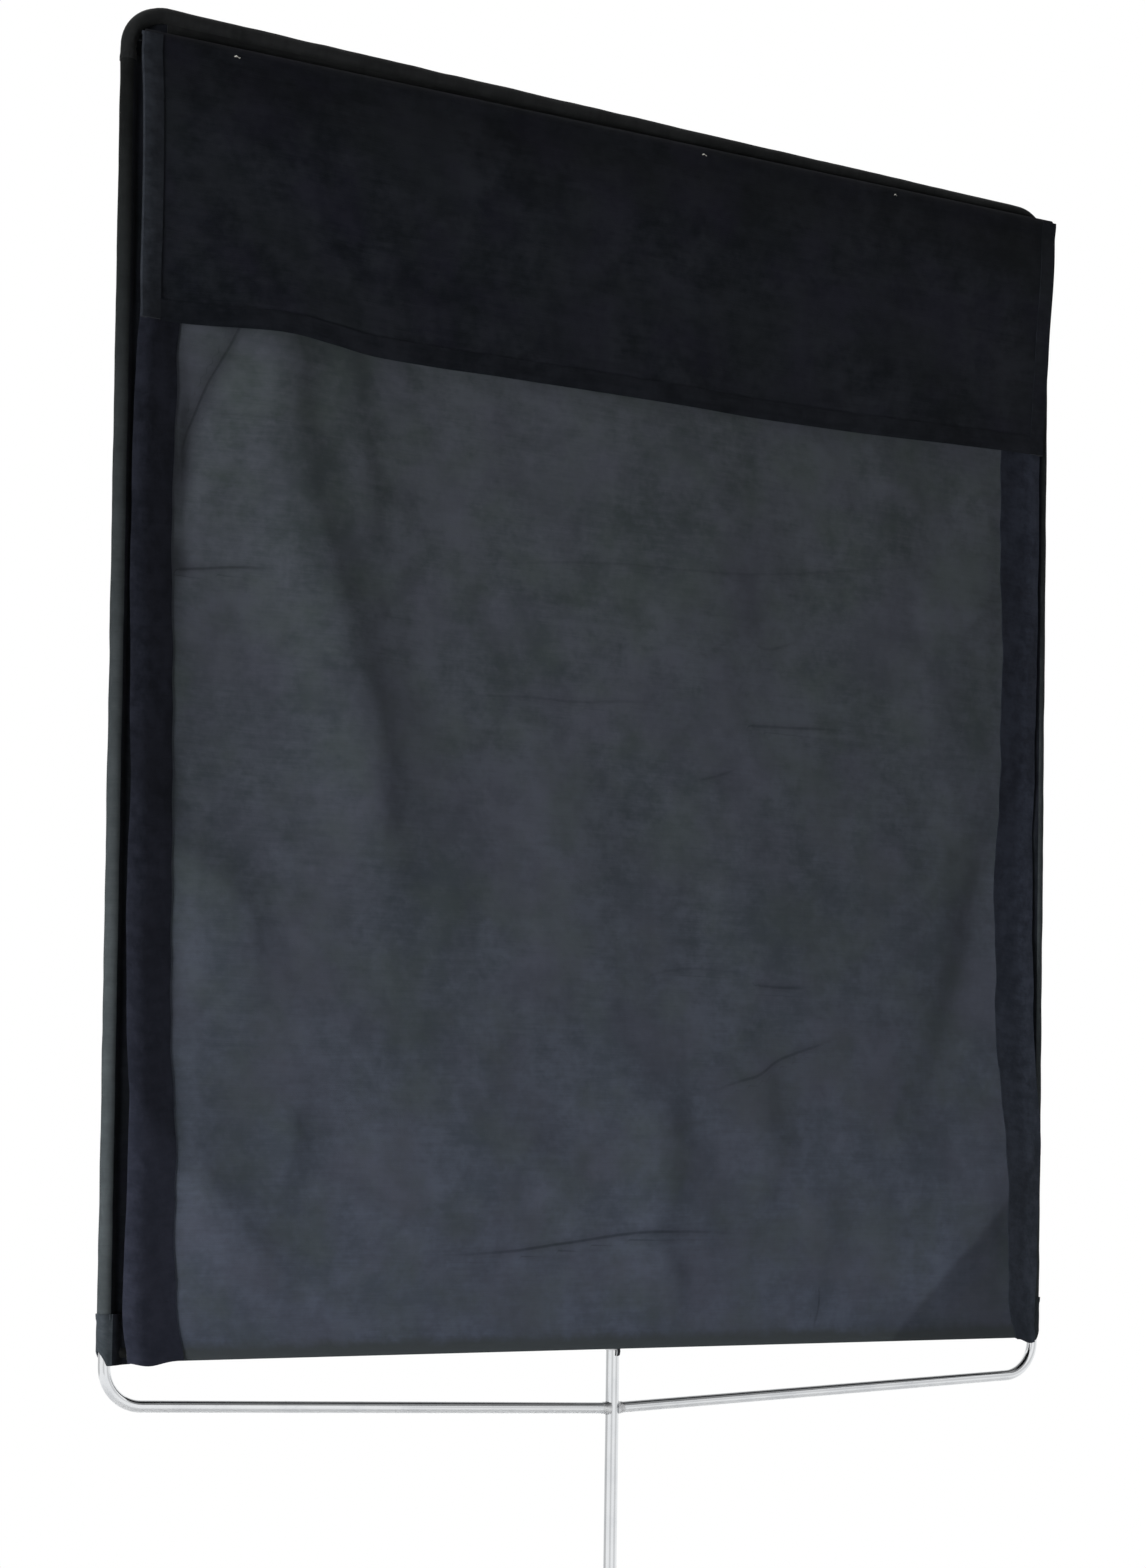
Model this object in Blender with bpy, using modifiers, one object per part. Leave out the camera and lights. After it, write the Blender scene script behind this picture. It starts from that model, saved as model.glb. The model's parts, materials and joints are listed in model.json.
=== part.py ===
"""A floppy flag: a bent wire frame on a mounting pin, a cloth cover sewn round the
wire, a cloth flop hinged along the bottom, and a short retaining flap along the top.

Metres, +Z up. The origin is the lower end of the mounting pin, the front is -Y.
"""

import math

import bmesh
import bpy
from mathutils import Matrix, Vector

# Wire frame
FRAME_WIDTH = 0.762
FRAME_HEIGHT = 0.914
WIRE_DIAMETER = 0.008
BEND_RADIUS = 0.030
BAR_DROP = 0.014
CROSSBAR_DIAMETER = 0.0064

# Mounting pin
PIN_DIAMETER = 0.009525
PIN_BELOW_BAR = 0.141
PIN_CHAMFER = 0.0012

# Weld beads, each starting at a share of the radius of the piece it sits on
BEAD_RISE = 0.0014
BEAD_REACH = 0.0035
BEAD_THIN = 0.0003
BEAD_START = 0.6

# Cloth of the cover
CLOTH = 0.0012
CLOTH_ABOVE_BEND = 0.0035
FLANGE_WIDTH = 0.016
CUFF_HEIGHT = 0.031
CUFF_SLANT = 0.0105
SLEEVE_LAP = 0.004
COVER_SAG = 0.004
COVER_RIPPLE = 0.35
COVER_RIPPLE_ACROSS = 0.218
COVER_RIPPLE_UPWARD = 1.436

# Flop, hinged along its lower edge
FLOP_SIDE_MARGIN = 0.011
FLOP_BELOW_FLAP_HINGE = 0.0378
FLOP_FORWARD = 0.0135
FLOP_CORNER_DROOP = 0.0050
LEFT_HEM_TOP = 0.026
LEFT_HEM_BOTTOM = 0.040
RIGHT_HEM_TOP = 0.037
RIGHT_HEM_BOTTOM = 0.025
FREE_HEM = 0.025
HINGE_ROLL_DIAMETER = 0.0032

# Hang of the flop's cloth: how far it goes, and the heights above the hinge it does so between
FLOP_LEAN_BACK = 0.0045
LEAN_HEIGHTS = (0.10, 0.42)
HOLLOW_DEPTH = 0.0025
HOLLOW_FROM = (0.25, 0.42)
HOLLOW_TO = (0.48, 0.66)
BELLY_FORWARD = 0.0045
BELLY_HEIGHT = 0.140
BELLY_SPREAD = 0.070
LOOSE_FROM = (0.01, 0.08)
LOOSE_TO = (0.62, 0.68)

# Retaining flap, hinged along its upper edge
FLAP_BELOW_WIRE = 0.0131
FLAP_SLANT = 0.0108
FLAP_HEIGHT = 0.187
FLAP_LEFT_MARGIN = 0.009
FLAP_RIGHT_MARGIN = 0.003
FLAP_RIGHT_TAPER = 0.011
FLAP_SIDE_HEM = 0.012
FLAP_BOTTOM_HEM = 0.013
FLAP_HINGE_BACK = 0.0020
FLAP_PROUD_BELOW = 0.046
FLAP_RIPPLE = 0.0015
FLAP_RIPPLE_ACROSS = 0.260
FLAP_RIPPLE_SHIFT = 0.050
FLAP_RIPPLE_BELOW = 0.115

# Hook and loop patches that hold the flop behind the flap
PATCH_WIDTH = 0.050
PATCH_HEIGHT = 0.025
PATCH_THICKNESS = 0.0012
PATCH_CORNER = 0.004
PATCH_INSET = 0.095
PATCH_BELOW_HEM = 0.006

# Clearances between neighbouring pieces
GAP = 0.0003
LAYER_GAP = 0.0004

# Folds of the flop, in its own plane: x across from the middle, height above the hinge
FOLDS = (
    {"start": (-0.257, 0.660), "end": (-0.154, 0.250), "rise": -0.0040, "width": 0.034},
    {"start": (-0.330, 0.380), "end": (-0.262, 0.250), "rise": -0.0030, "width": 0.026},
    {"start": (0.320, 0.360), "end": (0.215, 0.140), "rise": -0.0035, "width": 0.030},
    {"start": (0.018, 0.215), "end": (0.048, 0.040), "rise": -0.0030, "width": 0.027},
    {"start": (-0.318, 0.130), "end": (-0.250, 0.040), "rise": 0.0025, "width": 0.028},
    {"start": (0.335, 0.125), "end": (0.240, 0.035), "rise": 0.0025, "width": 0.028},
    {"start": (-0.330, 0.640), "end": (-0.300, 0.560), "rise": 0.0025, "width": 0.026},
)
FOLD_FADE = (-0.25, 0.15)

# Waves of the flap's lower edge: x across from the middle, and how far the edge is drawn up
EDGE_WAVES = (
    {"x": -0.268, "rise": 0.0025, "width": 0.045},
    {"x": -0.167, "rise": -0.0015, "width": 0.074},
)

# Finishes: colour, roughness and metallic value
PLATED = ((0.62, 0.64, 0.66), 0.22, 1.0)
WELD = ((0.50, 0.52, 0.54), 0.38, 1.0)
NAPPED = ((0.008, 0.009, 0.014), 0.95)
HEM_CLOTH = ((0.013, 0.014, 0.024), 0.95)
REVERSE = ((0.045, 0.054, 0.068), 0.92)
TOUCH_TAPE = ((0.006, 0.006, 0.007), 0.80)

# Facets
WIRE_SIDES_LEVEL = 4
ROD_SIDES = 16
PIN_SIDES = 24
ROLL_SIDES = 12
BEND_STEPS = 7
CORNER_STEPS = 3
FLOP_COLUMNS = 22
FLOP_ROWS = 24
HEM_COLUMNS = 2
FLAP_COLUMNS = 22
FLAP_ROWS = 7
COVER_COLUMNS = 14
COVER_ROWS = 15
SHARP_ANGLE = math.radians(40)
MERGE_DISTANCE = 0.00001
EMPTY_SIZE = 0.05

# Places that follow from the sizes above
wire_radius = WIRE_DIAMETER / 2
pin_radius = PIN_DIAMETER / 2
crossbar_radius = CROSSBAR_DIAMETER / 2
bend = BEND_RADIUS - wire_radius
side_x = FRAME_WIDTH / 2 - wire_radius
bar_z = PIN_BELOW_BAR
corner_z = bar_z + BAR_DROP
top_z = corner_z + FRAME_HEIGHT - WIRE_DIAMETER
bend_end_z = corner_z + bend
bend_start_z = top_z - bend
top_sleeve_end_z = bend_start_z - SLEEVE_LAP
cloth_z = bend_end_z + CLOTH_ABOVE_BEND

sleeve_inside = wire_radius + GAP
sleeve_outside = sleeve_inside + CLOTH
bottom_sleeve_inside = crossbar_radius + GAP
bottom_sleeve_outside = bottom_sleeve_inside + CLOTH
crossbar_z = cloth_z + bottom_sleeve_outside
pin_top_z = crossbar_z - crossbar_radius - GAP
cuff_top_z = bend_end_z + CUFF_HEIGHT
flange_x = side_x - sleeve_outside - FLANGE_WIDTH - GAP

hinge_roll_radius = HINGE_ROLL_DIAMETER / 2
roll_edge = hinge_roll_radius + GAP
flop_hinge_z = cloth_z + hinge_roll_radius
flap_hinge_z = top_z - FLAP_BELOW_WIRE
flop_half = FRAME_WIDTH / 2 - FLOP_SIDE_MARGIN
flop_height = flap_hinge_z - FLOP_BELOW_FLAP_HINGE - flop_hinge_z
flop_top_forward = FLOP_FORWARD - FLOP_LEAN_BACK
layer_step = CLOTH + LAYER_GAP
roll_left = -flop_half + LEFT_HEM_BOTTOM + GAP
roll_right = flop_half - RIGHT_HEM_BOTTOM - GAP

flap_left = FRAME_WIDTH / 2 - FLAP_LEFT_MARGIN
flap_right = FRAME_WIDTH / 2 - FLAP_RIGHT_MARGIN
flap_forward = flop_top_forward + CLOTH + 2 * PATCH_THICKNESS + 3 * GAP
flap_hinge_forward = flap_forward - FLAP_HINGE_BACK
flap_angle = math.atan2(FLAP_SLANT, flap_left + flap_right)
flap_drop = FLAP_HEIGHT - hinge_roll_radius

patch_x = flop_half - PATCH_INSET
patch_centre_height = flop_height - FREE_HEM - PATCH_BELOW_HEM - PATCH_HEIGHT / 2


def fresh_collection(name):
    collection = bpy.data.collections.new(name)
    bpy.context.scene.collection.children.link(collection)
    return collection


for old in list(bpy.data.objects):
    bpy.data.objects.remove(old, do_unlink=True)

flag = fresh_collection("floppy_flag")
cutters = fresh_collection("cutters")


def material(name, colour, roughness, metallic=0.0):
    made = bpy.data.materials.new(name)
    made.use_nodes = True
    shader = made.node_tree.nodes["Principled BSDF"]
    shader.inputs["Base Color"].default_value = (*colour, 1.0)
    shader.inputs["Roughness"].default_value = roughness
    shader.inputs["Metallic"].default_value = metallic
    return made


def smooth_step(low, high, value):
    t = min(max((value - low) / (high - low), 0.0), 1.0)
    return t * t * (3 - 2 * t)


def mix(a, b, t):
    return a + (b - a) * t


def bump(offset, width):
    return math.exp(-((offset / width) ** 2))


def finish(name, mesh, look, parent=None):
    """Put a finished mesh in the flag's collection under its own name and material."""
    made = bpy.data.objects.new(name, mesh)
    mesh.name = name
    mesh.materials.clear()
    mesh.materials.append(material(name, *look))
    flag.objects.link(made)
    if parent is not None:
        made.parent = parent
    return made


def cutter(name, mesh):
    """A helper solid for a Boolean modifier, shown as wire and left out of the flag."""
    made = bpy.data.objects.new(name, mesh)
    cutters.objects.link(made)
    made.hide_render = True
    made.display_type = "WIRE"
    return made


def boolean(target, other, operation):
    step = target.modifiers.new(other.name, "BOOLEAN")
    step.operation = operation
    step.object = other
    return step


def box_mesh(low, high):
    bm = bmesh.new()
    bmesh.ops.create_cube(bm, size=1.0)
    low, high = Vector(low), Vector(high)
    bmesh.ops.scale(bm, vec=high - low, verts=bm.verts)
    bmesh.ops.translate(bm, vec=(low + high) / 2, verts=bm.verts)
    mesh = bpy.data.meshes.new("box")
    bm.to_mesh(mesh)
    bm.free()
    return mesh


def rod_mesh(start, end, radius, end_radius=None, sides=ROD_SIDES, chamfer=0.0):
    """A round rod or cone between two points, with its start's rim chamfered if asked."""
    start, end = Vector(start), Vector(end)
    along = end - start
    bm = bmesh.new()
    bmesh.ops.create_cone(
        bm,
        cap_ends=True,
        segments=sides,
        radius1=radius,
        radius2=radius if end_radius is None else end_radius,
        depth=along.length,
    )
    if chamfer:
        rim = [e for e in bm.edges if all(v.co.z < 0 for v in e.verts)]
        bmesh.ops.bevel(bm, geom=rim, offset=chamfer, segments=1, affect="EDGES")
    turn = along.to_track_quat("Z", "Y").to_matrix().to_4x4()
    bm.transform(Matrix.Translation((start + end) / 2) @ turn)
    mesh = bpy.data.meshes.new("rod")
    bm.to_mesh(mesh)
    bm.free()
    return mesh


def tube_mesh(points, radius):
    """A curve with a round bevel along the points, turned into a closed mesh."""
    curve = bpy.data.curves.new("tube", "CURVE")
    curve.dimensions = "3D"
    curve.bevel_depth = radius
    curve.bevel_resolution = WIRE_SIDES_LEVEL
    curve.use_fill_caps = True
    spline = curve.splines.new("POLY")
    spline.points.add(len(points) - 1)
    for spot, point in zip(spline.points, points):
        spot.co = (*point, 1.0)
    guide = bpy.data.objects.new("tube", curve)
    cutters.objects.link(guide)
    bpy.context.view_layer.update()
    evaluated = guide.evaluated_get(bpy.context.evaluated_depsgraph_get())
    mesh = bpy.data.meshes.new_from_object(evaluated)
    mesh.transform(guide.matrix_world)
    bpy.data.objects.remove(guide)
    bm = bmesh.new()
    bm.from_mesh(mesh)
    bmesh.ops.remove_doubles(bm, verts=bm.verts, dist=MERGE_DISTANCE)
    bm.to_mesh(mesh)
    bm.free()
    return mesh


def rounded_path(corners, radius):
    """The corner points joined by straight runs, each inner corner turned into an arc."""
    points = [Vector(corners[0])]
    for before, at, after in zip(corners, corners[1:], corners[2:]):
        at = Vector(at)
        back = (Vector(before) - at).normalized()
        ahead = (Vector(after) - at).normalized()
        half = back.angle(ahead) / 2
        centre = at + (back + ahead).normalized() * radius / math.sin(half)
        first = at + back * radius / math.tan(half) - centre
        last = at + ahead * radius / math.tan(half) - centre
        sweep = first.angle(last)
        for step in range(BEND_STEPS + 1):
            share = step / BEND_STEPS
            spoke = first * math.sin((1 - share) * sweep) + last * math.sin(share * sweep)
            points.append(centre + spoke / math.sin(sweep))
    points.append(Vector(corners[-1]))
    return points


def sheet(name, columns, rows, place, look, parent=None):
    """A sheet of cloth: a grid put in place by a formula and given its thickness."""
    bm = bmesh.new()
    bmesh.ops.create_grid(bm, x_segments=columns, y_segments=rows, size=0.5)
    for vert in bm.verts:
        column = round((vert.co.x + 0.5) * columns)
        row = round((vert.co.y + 0.5) * rows)
        vert.co = place(column, row)
    mesh = bpy.data.meshes.new(name)
    bm.to_mesh(mesh)
    bm.free()
    made = finish(name, mesh, look, parent)
    thickness = made.modifiers.new("cloth thickness", "SOLIDIFY")
    thickness.thickness = CLOTH
    thickness.offset = 0.0
    made.data.shade_smooth()
    return made


def round_shading(made):
    made.data.shade_smooth()
    made.data.set_sharp_from_angle(angle=SHARP_ANGLE)


def hinge_empty(name, location, turn=0.0):
    made = bpy.data.objects.new(name, None)
    made.empty_display_size = EMPTY_SIZE
    made.location = location
    made.rotation_euler = (0.0, turn, 0.0)
    flag.objects.link(made)
    return made


def weld_bead(name, start, end, rod_radius, through, across):
    """A tapering collar round a rod's end, cut to the rod and to the piece it joins."""
    inner = rod_radius + GAP
    mesh = rod_mesh(start, end, inner + BEAD_RISE, inner + BEAD_THIN)
    made = finish(name, mesh, WELD)
    boolean(made, cutter(name + "_rod", rod_mesh(*through, inner)), "DIFFERENCE")
    boolean(made, across, "DIFFERENCE")
    round_shading(made)
    return made


def build_frame():
    bar_end = Vector((-pin_radius - GAP, 0, bar_z))
    lower = Vector((-side_x, 0, corner_z))
    upper = Vector((-side_x, 0, top_z))
    mirror = Vector((-1, 1, 1))
    corners = [bar_end, lower, upper, upper * mirror, lower * mirror, bar_end * mirror]
    frame_wire = finish("frame_wire", tube_mesh(rounded_path(corners, bend), wire_radius), PLATED)
    round_shading(frame_wire)

    crossbar_x = side_x - wire_radius - GAP
    crossbar = rod_mesh((-crossbar_x, 0, crossbar_z), (crossbar_x, 0, crossbar_z), crossbar_radius)
    round_shading(finish("inner_crossbar", crossbar, PLATED))

    pin = rod_mesh((0, 0, 0), (0, 0, pin_top_z), pin_radius, sides=PIN_SIDES, chamfer=PIN_CHAMFER)
    round_shading(finish("mounting_pin", pin, PLATED))

    room_mesh = rod_mesh((0, 0, 0), (0, 0, top_z), pin_radius + GAP, sides=PIN_SIDES)
    pin_room = cutter("pin_room", room_mesh)
    foot = Vector((0, 0, bar_z))
    for side, sign in (("left", -1), ("right", 1)):
        away = (Vector((sign * side_x, 0, corner_z)) - foot).normalized()
        weld_bead(
            "weld_bar_" + side,
            foot + away * pin_radius * BEAD_START,
            foot + away * (pin_radius + BEAD_REACH),
            wire_radius,
            (foot - away * wire_radius, foot + away * 2 * BEND_RADIUS),
            pin_room,
        )
        wire_low = (sign * side_x, 0, bend_end_z)
        wire_high = (sign * side_x, 0, bend_start_z)
        wire_room = cutter("wire_room_" + side, rod_mesh(wire_low, wire_high, wire_radius + GAP))
        weld_bead(
            "weld_crossbar_" + side,
            (sign * (side_x - wire_radius * BEAD_START), 0, crossbar_z),
            (sign * (side_x - wire_radius - BEAD_REACH), 0, crossbar_z),
            crossbar_radius,
            ((sign * side_x, 0, crossbar_z), (0, 0, crossbar_z)),
            wire_room,
        )
    crossbar_room = cutter(
        "crossbar_room",
        rod_mesh((-side_x, 0, crossbar_z), (side_x, 0, crossbar_z), crossbar_radius + GAP),
    )
    weld_bead(
        "weld_pin_top",
        (0, 0, crossbar_z - crossbar_radius * BEAD_START),
        (0, 0, pin_top_z - BEAD_REACH),
        pin_radius,
        ((0, 0, crossbar_z), (0, 0, bar_z)),
        crossbar_room,
    )


def ring_piece(name, start, end, inside, outside, look):
    """A straight cloth sleeve round a rod."""
    made = finish(name, rod_mesh(start, end, outside), look)
    start, end = Vector(start), Vector(end)
    past = (end - start).normalized() * outside
    bore = cutter(name + "_bore", rod_mesh(start - past, end + past, inside))
    boolean(made, bore, "DIFFERENCE")
    return made


def add_flange(made, low, high):
    """The stitched seam allowance that runs from a sleeve onto the cover's front."""
    allowance = box_mesh((low[0], -GAP - CLOTH, low[1]), (high[0], -GAP, high[1]))
    boolean(made, cutter(made.name + "_allowance", allowance), "UNION")


def build_cover():
    inner_wall = sleeve_inside + CLOTH / 2
    for side, sign in (("left", -1), ("right", 1)):
        foot = (sign * side_x, 0, cuff_top_z + GAP)
        head = (sign * side_x, 0, top_sleeve_end_z - GAP)
        sleeve = ring_piece("sleeve_" + side, foot, head, sleeve_inside, sleeve_outside, NAPPED)
        edges = sorted((sign * (side_x - inner_wall), sign * (flange_x + GAP)))
        add_flange(sleeve, (edges[0], foot[2]), (edges[1], head[2]))
        round_shading(sleeve)

        cuff = ring_piece(
            "cuff_" + side,
            (sign * side_x, 0, bend_end_z),
            (sign * side_x, 0, cuff_top_z),
            sleeve_inside,
            sleeve_outside,
            HEM_CLOTH,
        )
        for vert in cuff.data.vertices:
            if vert.co.z < crossbar_z:
                outward = sign * (vert.co.x - sign * side_x) / sleeve_outside
                vert.co.z += CUFF_SLANT * (outward + 1) / 2
        notch_radius = bottom_sleeve_inside + BEAD_RISE + GAP
        notch_start = (sign * (side_x - wire_radius / 2), 0, crossbar_z)
        notch = rod_mesh(notch_start, (sign * flange_x, 0, crossbar_z), notch_radius)
        boolean(cuff, cutter("cuff_notch_" + side, notch), "DIFFERENCE")
        round_shading(cuff)

    top_corners = [
        Vector((-side_x, 0, top_sleeve_end_z)),
        Vector((-side_x, 0, top_z)),
        Vector((side_x, 0, top_z)),
        Vector((side_x, 0, top_sleeve_end_z)),
    ]
    top_path = rounded_path(top_corners, bend)
    top_sleeve = finish("sleeve_top", tube_mesh(top_path, sleeve_outside), NAPPED)
    ahead = Vector((0, 0, sleeve_outside))
    bore_path = [top_path[0] - ahead, *top_path, top_path[-1] - ahead]
    boolean(top_sleeve, cutter("sleeve_top_bore", tube_mesh(bore_path, sleeve_inside)), "DIFFERENCE")
    flange_low = (-flange_x, top_z - sleeve_outside - FLANGE_WIDTH)
    add_flange(top_sleeve, flange_low, (flange_x, top_z - inner_wall))
    round_shading(top_sleeve)

    sleeve_end = side_x - wire_radius - BEAD_REACH - GAP
    bottom_sleeve = ring_piece(
        "sleeve_bottom",
        (-sleeve_end, 0, crossbar_z),
        (sleeve_end, 0, crossbar_z),
        bottom_sleeve_inside,
        bottom_sleeve_outside,
        NAPPED,
    )
    bottom_wall = bottom_sleeve_inside + CLOTH / 2
    flange_high = (flange_x, crossbar_z + bottom_sleeve_outside + FLANGE_WIDTH)
    add_flange(bottom_sleeve, (-flange_x, crossbar_z + bottom_wall), flange_high)
    bead_radius = pin_radius + GAP + BEAD_RISE + GAP
    notch_mesh = rod_mesh((0, 0, 0), (0, 0, crossbar_z), bead_radius, sides=PIN_SIDES)
    pin_notch = cutter("pin_notch", notch_mesh)
    boolean(bottom_sleeve, pin_notch, "DIFFERENCE")
    round_shading(bottom_sleeve)

    build_cover_panel()
    build_hinge_tape(pin_notch)
    build_flap_seam()


def build_cover_panel():
    """The rear sheet, flat where it meets the sleeves and bellied a little behind them."""
    low_z = crossbar_z + crossbar_radius
    high_z = top_z - wire_radius
    half = side_x - wire_radius
    flat = sleeve_outside + FLANGE_WIDTH

    def place(column, row):
        x = mix(-half, half, column / COVER_COLUMNS)
        z = mix(low_z, high_z, row / COVER_ROWS)
        across = smooth_step(flat, half, half - abs(x))
        upward = smooth_step(flat, half, min(z - low_z, high_z - z))
        turns = x / COVER_RIPPLE_ACROSS + z / COVER_RIPPLE_UPWARD
        ripple = 1 + COVER_RIPPLE * math.cos(math.tau * turns)
        return Vector((x, CLOTH / 2 + COVER_SAG * across * upward * ripple, z))

    panel = sheet("cover_panel", COVER_COLUMNS, COVER_ROWS, place, NAPPED)
    corners = [
        Vector((-side_x, 0, bar_z)),
        Vector((-side_x, 0, top_z)),
        Vector((side_x, 0, top_z)),
        Vector((side_x, 0, bar_z)),
    ]
    around = tube_mesh(rounded_path(corners, bend), sleeve_outside + GAP)
    boolean(panel, cutter("cover_trim_sides", around), "DIFFERENCE")
    below_radius = max(bottom_sleeve_outside, bottom_sleeve_inside + BEAD_RISE) + GAP
    below = rod_mesh((-side_x, 0, crossbar_z), (side_x, 0, crossbar_z), below_radius)
    boolean(panel, cutter("cover_trim_bottom", below), "DIFFERENCE")


def build_hinge_tape(pin_notch):
    """The folded cloth under the crossbar that the flop's hinge roll is sewn to."""
    front = -FLOP_FORWARD + hinge_roll_radius + GAP
    rise = bottom_sleeve_outside - CLOTH
    back = -math.sqrt(bottom_sleeve_outside**2 - rise**2) - GAP
    strip = box_mesh((roll_left, front, cloth_z), (roll_right, back, cloth_z + CLOTH))
    tape = finish("flop_hinge_tape", strip, HEM_CLOTH)
    boolean(tape, pin_notch, "DIFFERENCE")


def build_flap_seam():
    """The folded seam allowance that carries the retaining flap in front of the top sleeve."""
    front = -flap_hinge_forward + hinge_roll_radius + GAP
    back = -GAP - CLOTH - GAP
    half = flange_x - sleeve_outside
    mesh = box_mesh((-half, front, -CLOTH), (half, back, CLOTH))
    mesh.transform(Matrix.Rotation(-flap_angle, 4, "Y"))
    mesh.transform(Matrix.Translation((0, 0, flap_hinge_z)))
    finish("flap_seam_fold", mesh, HEM_CLOTH)


def left_hem(height):
    return mix(LEFT_HEM_BOTTOM, LEFT_HEM_TOP, height / flop_height)


def right_hem(height):
    return mix(RIGHT_HEM_BOTTOM, RIGHT_HEM_TOP, height / flop_height)


def fold_at(fold, x, height):
    """How far one fold moves the cloth forward: a rounded ridge that fades at both ends."""
    start, end = Vector(fold["start"]), Vector(fold["end"])
    run = end - start
    along = (Vector((x, height)) - start).dot(run) / run.length_squared
    beside = (Vector((x, height)) - start - run * along).length
    ends = smooth_step(*FOLD_FADE, along) * smooth_step(*FOLD_FADE, 1 - along)
    return fold["rise"] * ends * bump(beside, fold["width"])


def flop_back(x, height):
    """How far the flop's cloth lies behind its hinge line at one spot."""
    lean = FLOP_LEAN_BACK * smooth_step(*LEAN_HEIGHTS, height)
    hollow = HOLLOW_DEPTH * smooth_step(*HOLLOW_FROM, height) * (1 - smooth_step(*HOLLOW_TO, height))
    belly = BELLY_FORWARD * bump(height - BELLY_HEIGHT, BELLY_SPREAD)
    loose = smooth_step(*LOOSE_FROM, height) * (1 - smooth_step(*LOOSE_TO, height))
    folds = sum(fold_at(fold, x, height) for fold in FOLDS)
    return lean + hollow - (belly + folds) * loose


def flop_spot(column, row, forward=0.0):
    """A point of the flop's grid: a few columns in each side hem, one row in the free hem."""
    free_seam = flop_height - FREE_HEM
    height = flop_height if row == FLOP_ROWS else mix(roll_edge, free_seam, row / (FLOP_ROWS - 1))
    left = -flop_half + left_hem(height)
    right = flop_half - right_hem(height)
    from_side = min(column, FLOP_COLUMNS - column)
    if column <= HEM_COLUMNS:
        x = mix(-flop_half, left, column / HEM_COLUMNS)
    elif from_side <= HEM_COLUMNS:
        x = mix(flop_half, right, from_side / HEM_COLUMNS)
    else:
        x = mix(left, right, (column - HEM_COLUMNS) / (FLOP_COLUMNS - 2 * HEM_COLUMNS))
    at_corner = row == 0 and from_side < HEM_COLUMNS
    return Vector((x, flop_back(x, height) - forward, -FLOP_CORNER_DROOP if at_corner else height))


def between_hems(spot, column, columns):
    """Draw the ends of a hem in by the gap that it keeps to the hems it runs between."""
    inside = GAP if column == 0 else -GAP if column == columns else 0.0
    return spot + Vector((inside, 0, 0))


def build_flop():
    hinge = hinge_empty("flop_hinge", (0, -FLOP_FORWARD, flop_hinge_z))
    free_columns = FLOP_COLUMNS - 2 * HEM_COLUMNS

    def left_place(column, row):
        return flop_spot(column, row, layer_step)

    def right_place(column, row):
        return flop_spot(FLOP_COLUMNS - HEM_COLUMNS + column, row, layer_step)

    def free_place(column, row):
        spot = flop_spot(HEM_COLUMNS + column, FLOP_ROWS - 1 + row, layer_step)
        return between_hems(spot, column, free_columns)

    sheet("flop_panel", FLOP_COLUMNS, FLOP_ROWS, flop_spot, REVERSE, hinge)
    sheet("flop_hem_left", HEM_COLUMNS, FLOP_ROWS, left_place, HEM_CLOTH, hinge)
    sheet("flop_hem_right", HEM_COLUMNS, FLOP_ROWS, right_place, HEM_CLOTH, hinge)
    sheet("flop_hem_free", free_columns, 1, free_place, HEM_CLOTH, hinge)

    roll = rod_mesh((roll_left, 0, 0), (roll_right, 0, 0), hinge_roll_radius, sides=ROLL_SIDES)
    round_shading(finish("flop_hinge_roll", roll, HEM_CLOTH, hinge))

    front = -GAP - CLOTH / 2 + FLOP_LEAN_BACK
    for side, sign in (("left", -1), ("right", 1)):
        add_patch("flop_hook_" + side, sign * patch_x, front, patch_centre_height, hinge)


def add_patch(name, x, back_y, height, hinge):
    """A patch of touch tape with its back at back_y and its rim rounded."""
    low = (x - PATCH_WIDTH / 2, back_y - PATCH_THICKNESS, height - PATCH_HEIGHT / 2)
    high = (x + PATCH_WIDTH / 2, back_y, height + PATCH_HEIGHT / 2)
    made = finish(name, box_mesh(low, high), TOUCH_TAPE, hinge)
    corners = made.modifiers.new("rounded corners", "BEVEL")
    corners.width = PATCH_CORNER
    corners.segments = CORNER_STEPS
    corners.limit_method = "WEIGHT"
    weights = made.data.attributes.new("bevel_weight_edge", "FLOAT", "EDGE")
    for edge in made.data.edges:
        one, other = (made.data.vertices[i].co for i in edge.vertices)
        through = abs(one.y - other.y) > PATCH_THICKNESS / 2
        weights.data[edge.index].value = 1.0 if through else 0.0


def flap_spot(column, row, forward=0.0):
    """A point of the flap's grid, hanging down from its hinge: one column in each side hem."""
    seam_share = 1.0 - FLAP_BOTTOM_HEM / flap_drop
    share = 1.0 if row == FLAP_ROWS else seam_share * row / (FLAP_ROWS - 1)
    right = flap_right - FLAP_RIGHT_TAPER * share
    if column <= 1:
        x = -flap_left + FLAP_SIDE_HEM * column
    elif column >= FLAP_COLUMNS - 1:
        x = right - FLAP_SIDE_HEM * (FLAP_COLUMNS - column)
    else:
        across = (column - 1) / (FLAP_COLUMNS - 2)
        x = mix(-flap_left + FLAP_SIDE_HEM, right - FLAP_SIDE_HEM, across)
    drawn_up = sum(wave["rise"] * bump(x - wave["x"], wave["width"]) for wave in EDGE_WAVES)
    drop = mix(roll_edge, flap_drop - drawn_up, share)
    wave = 1 + math.sin(math.tau * (x + FLAP_RIPPLE_SHIFT) / FLAP_RIPPLE_ACROSS)
    ripple = FLAP_RIPPLE * wave * smooth_step(FLAP_RIPPLE_BELOW, flap_drop, drop)
    proud = FLAP_HINGE_BACK * smooth_step(roll_edge, FLAP_PROUD_BELOW, drop)
    return Vector((x, -proud - ripple - forward, -drop))


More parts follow.
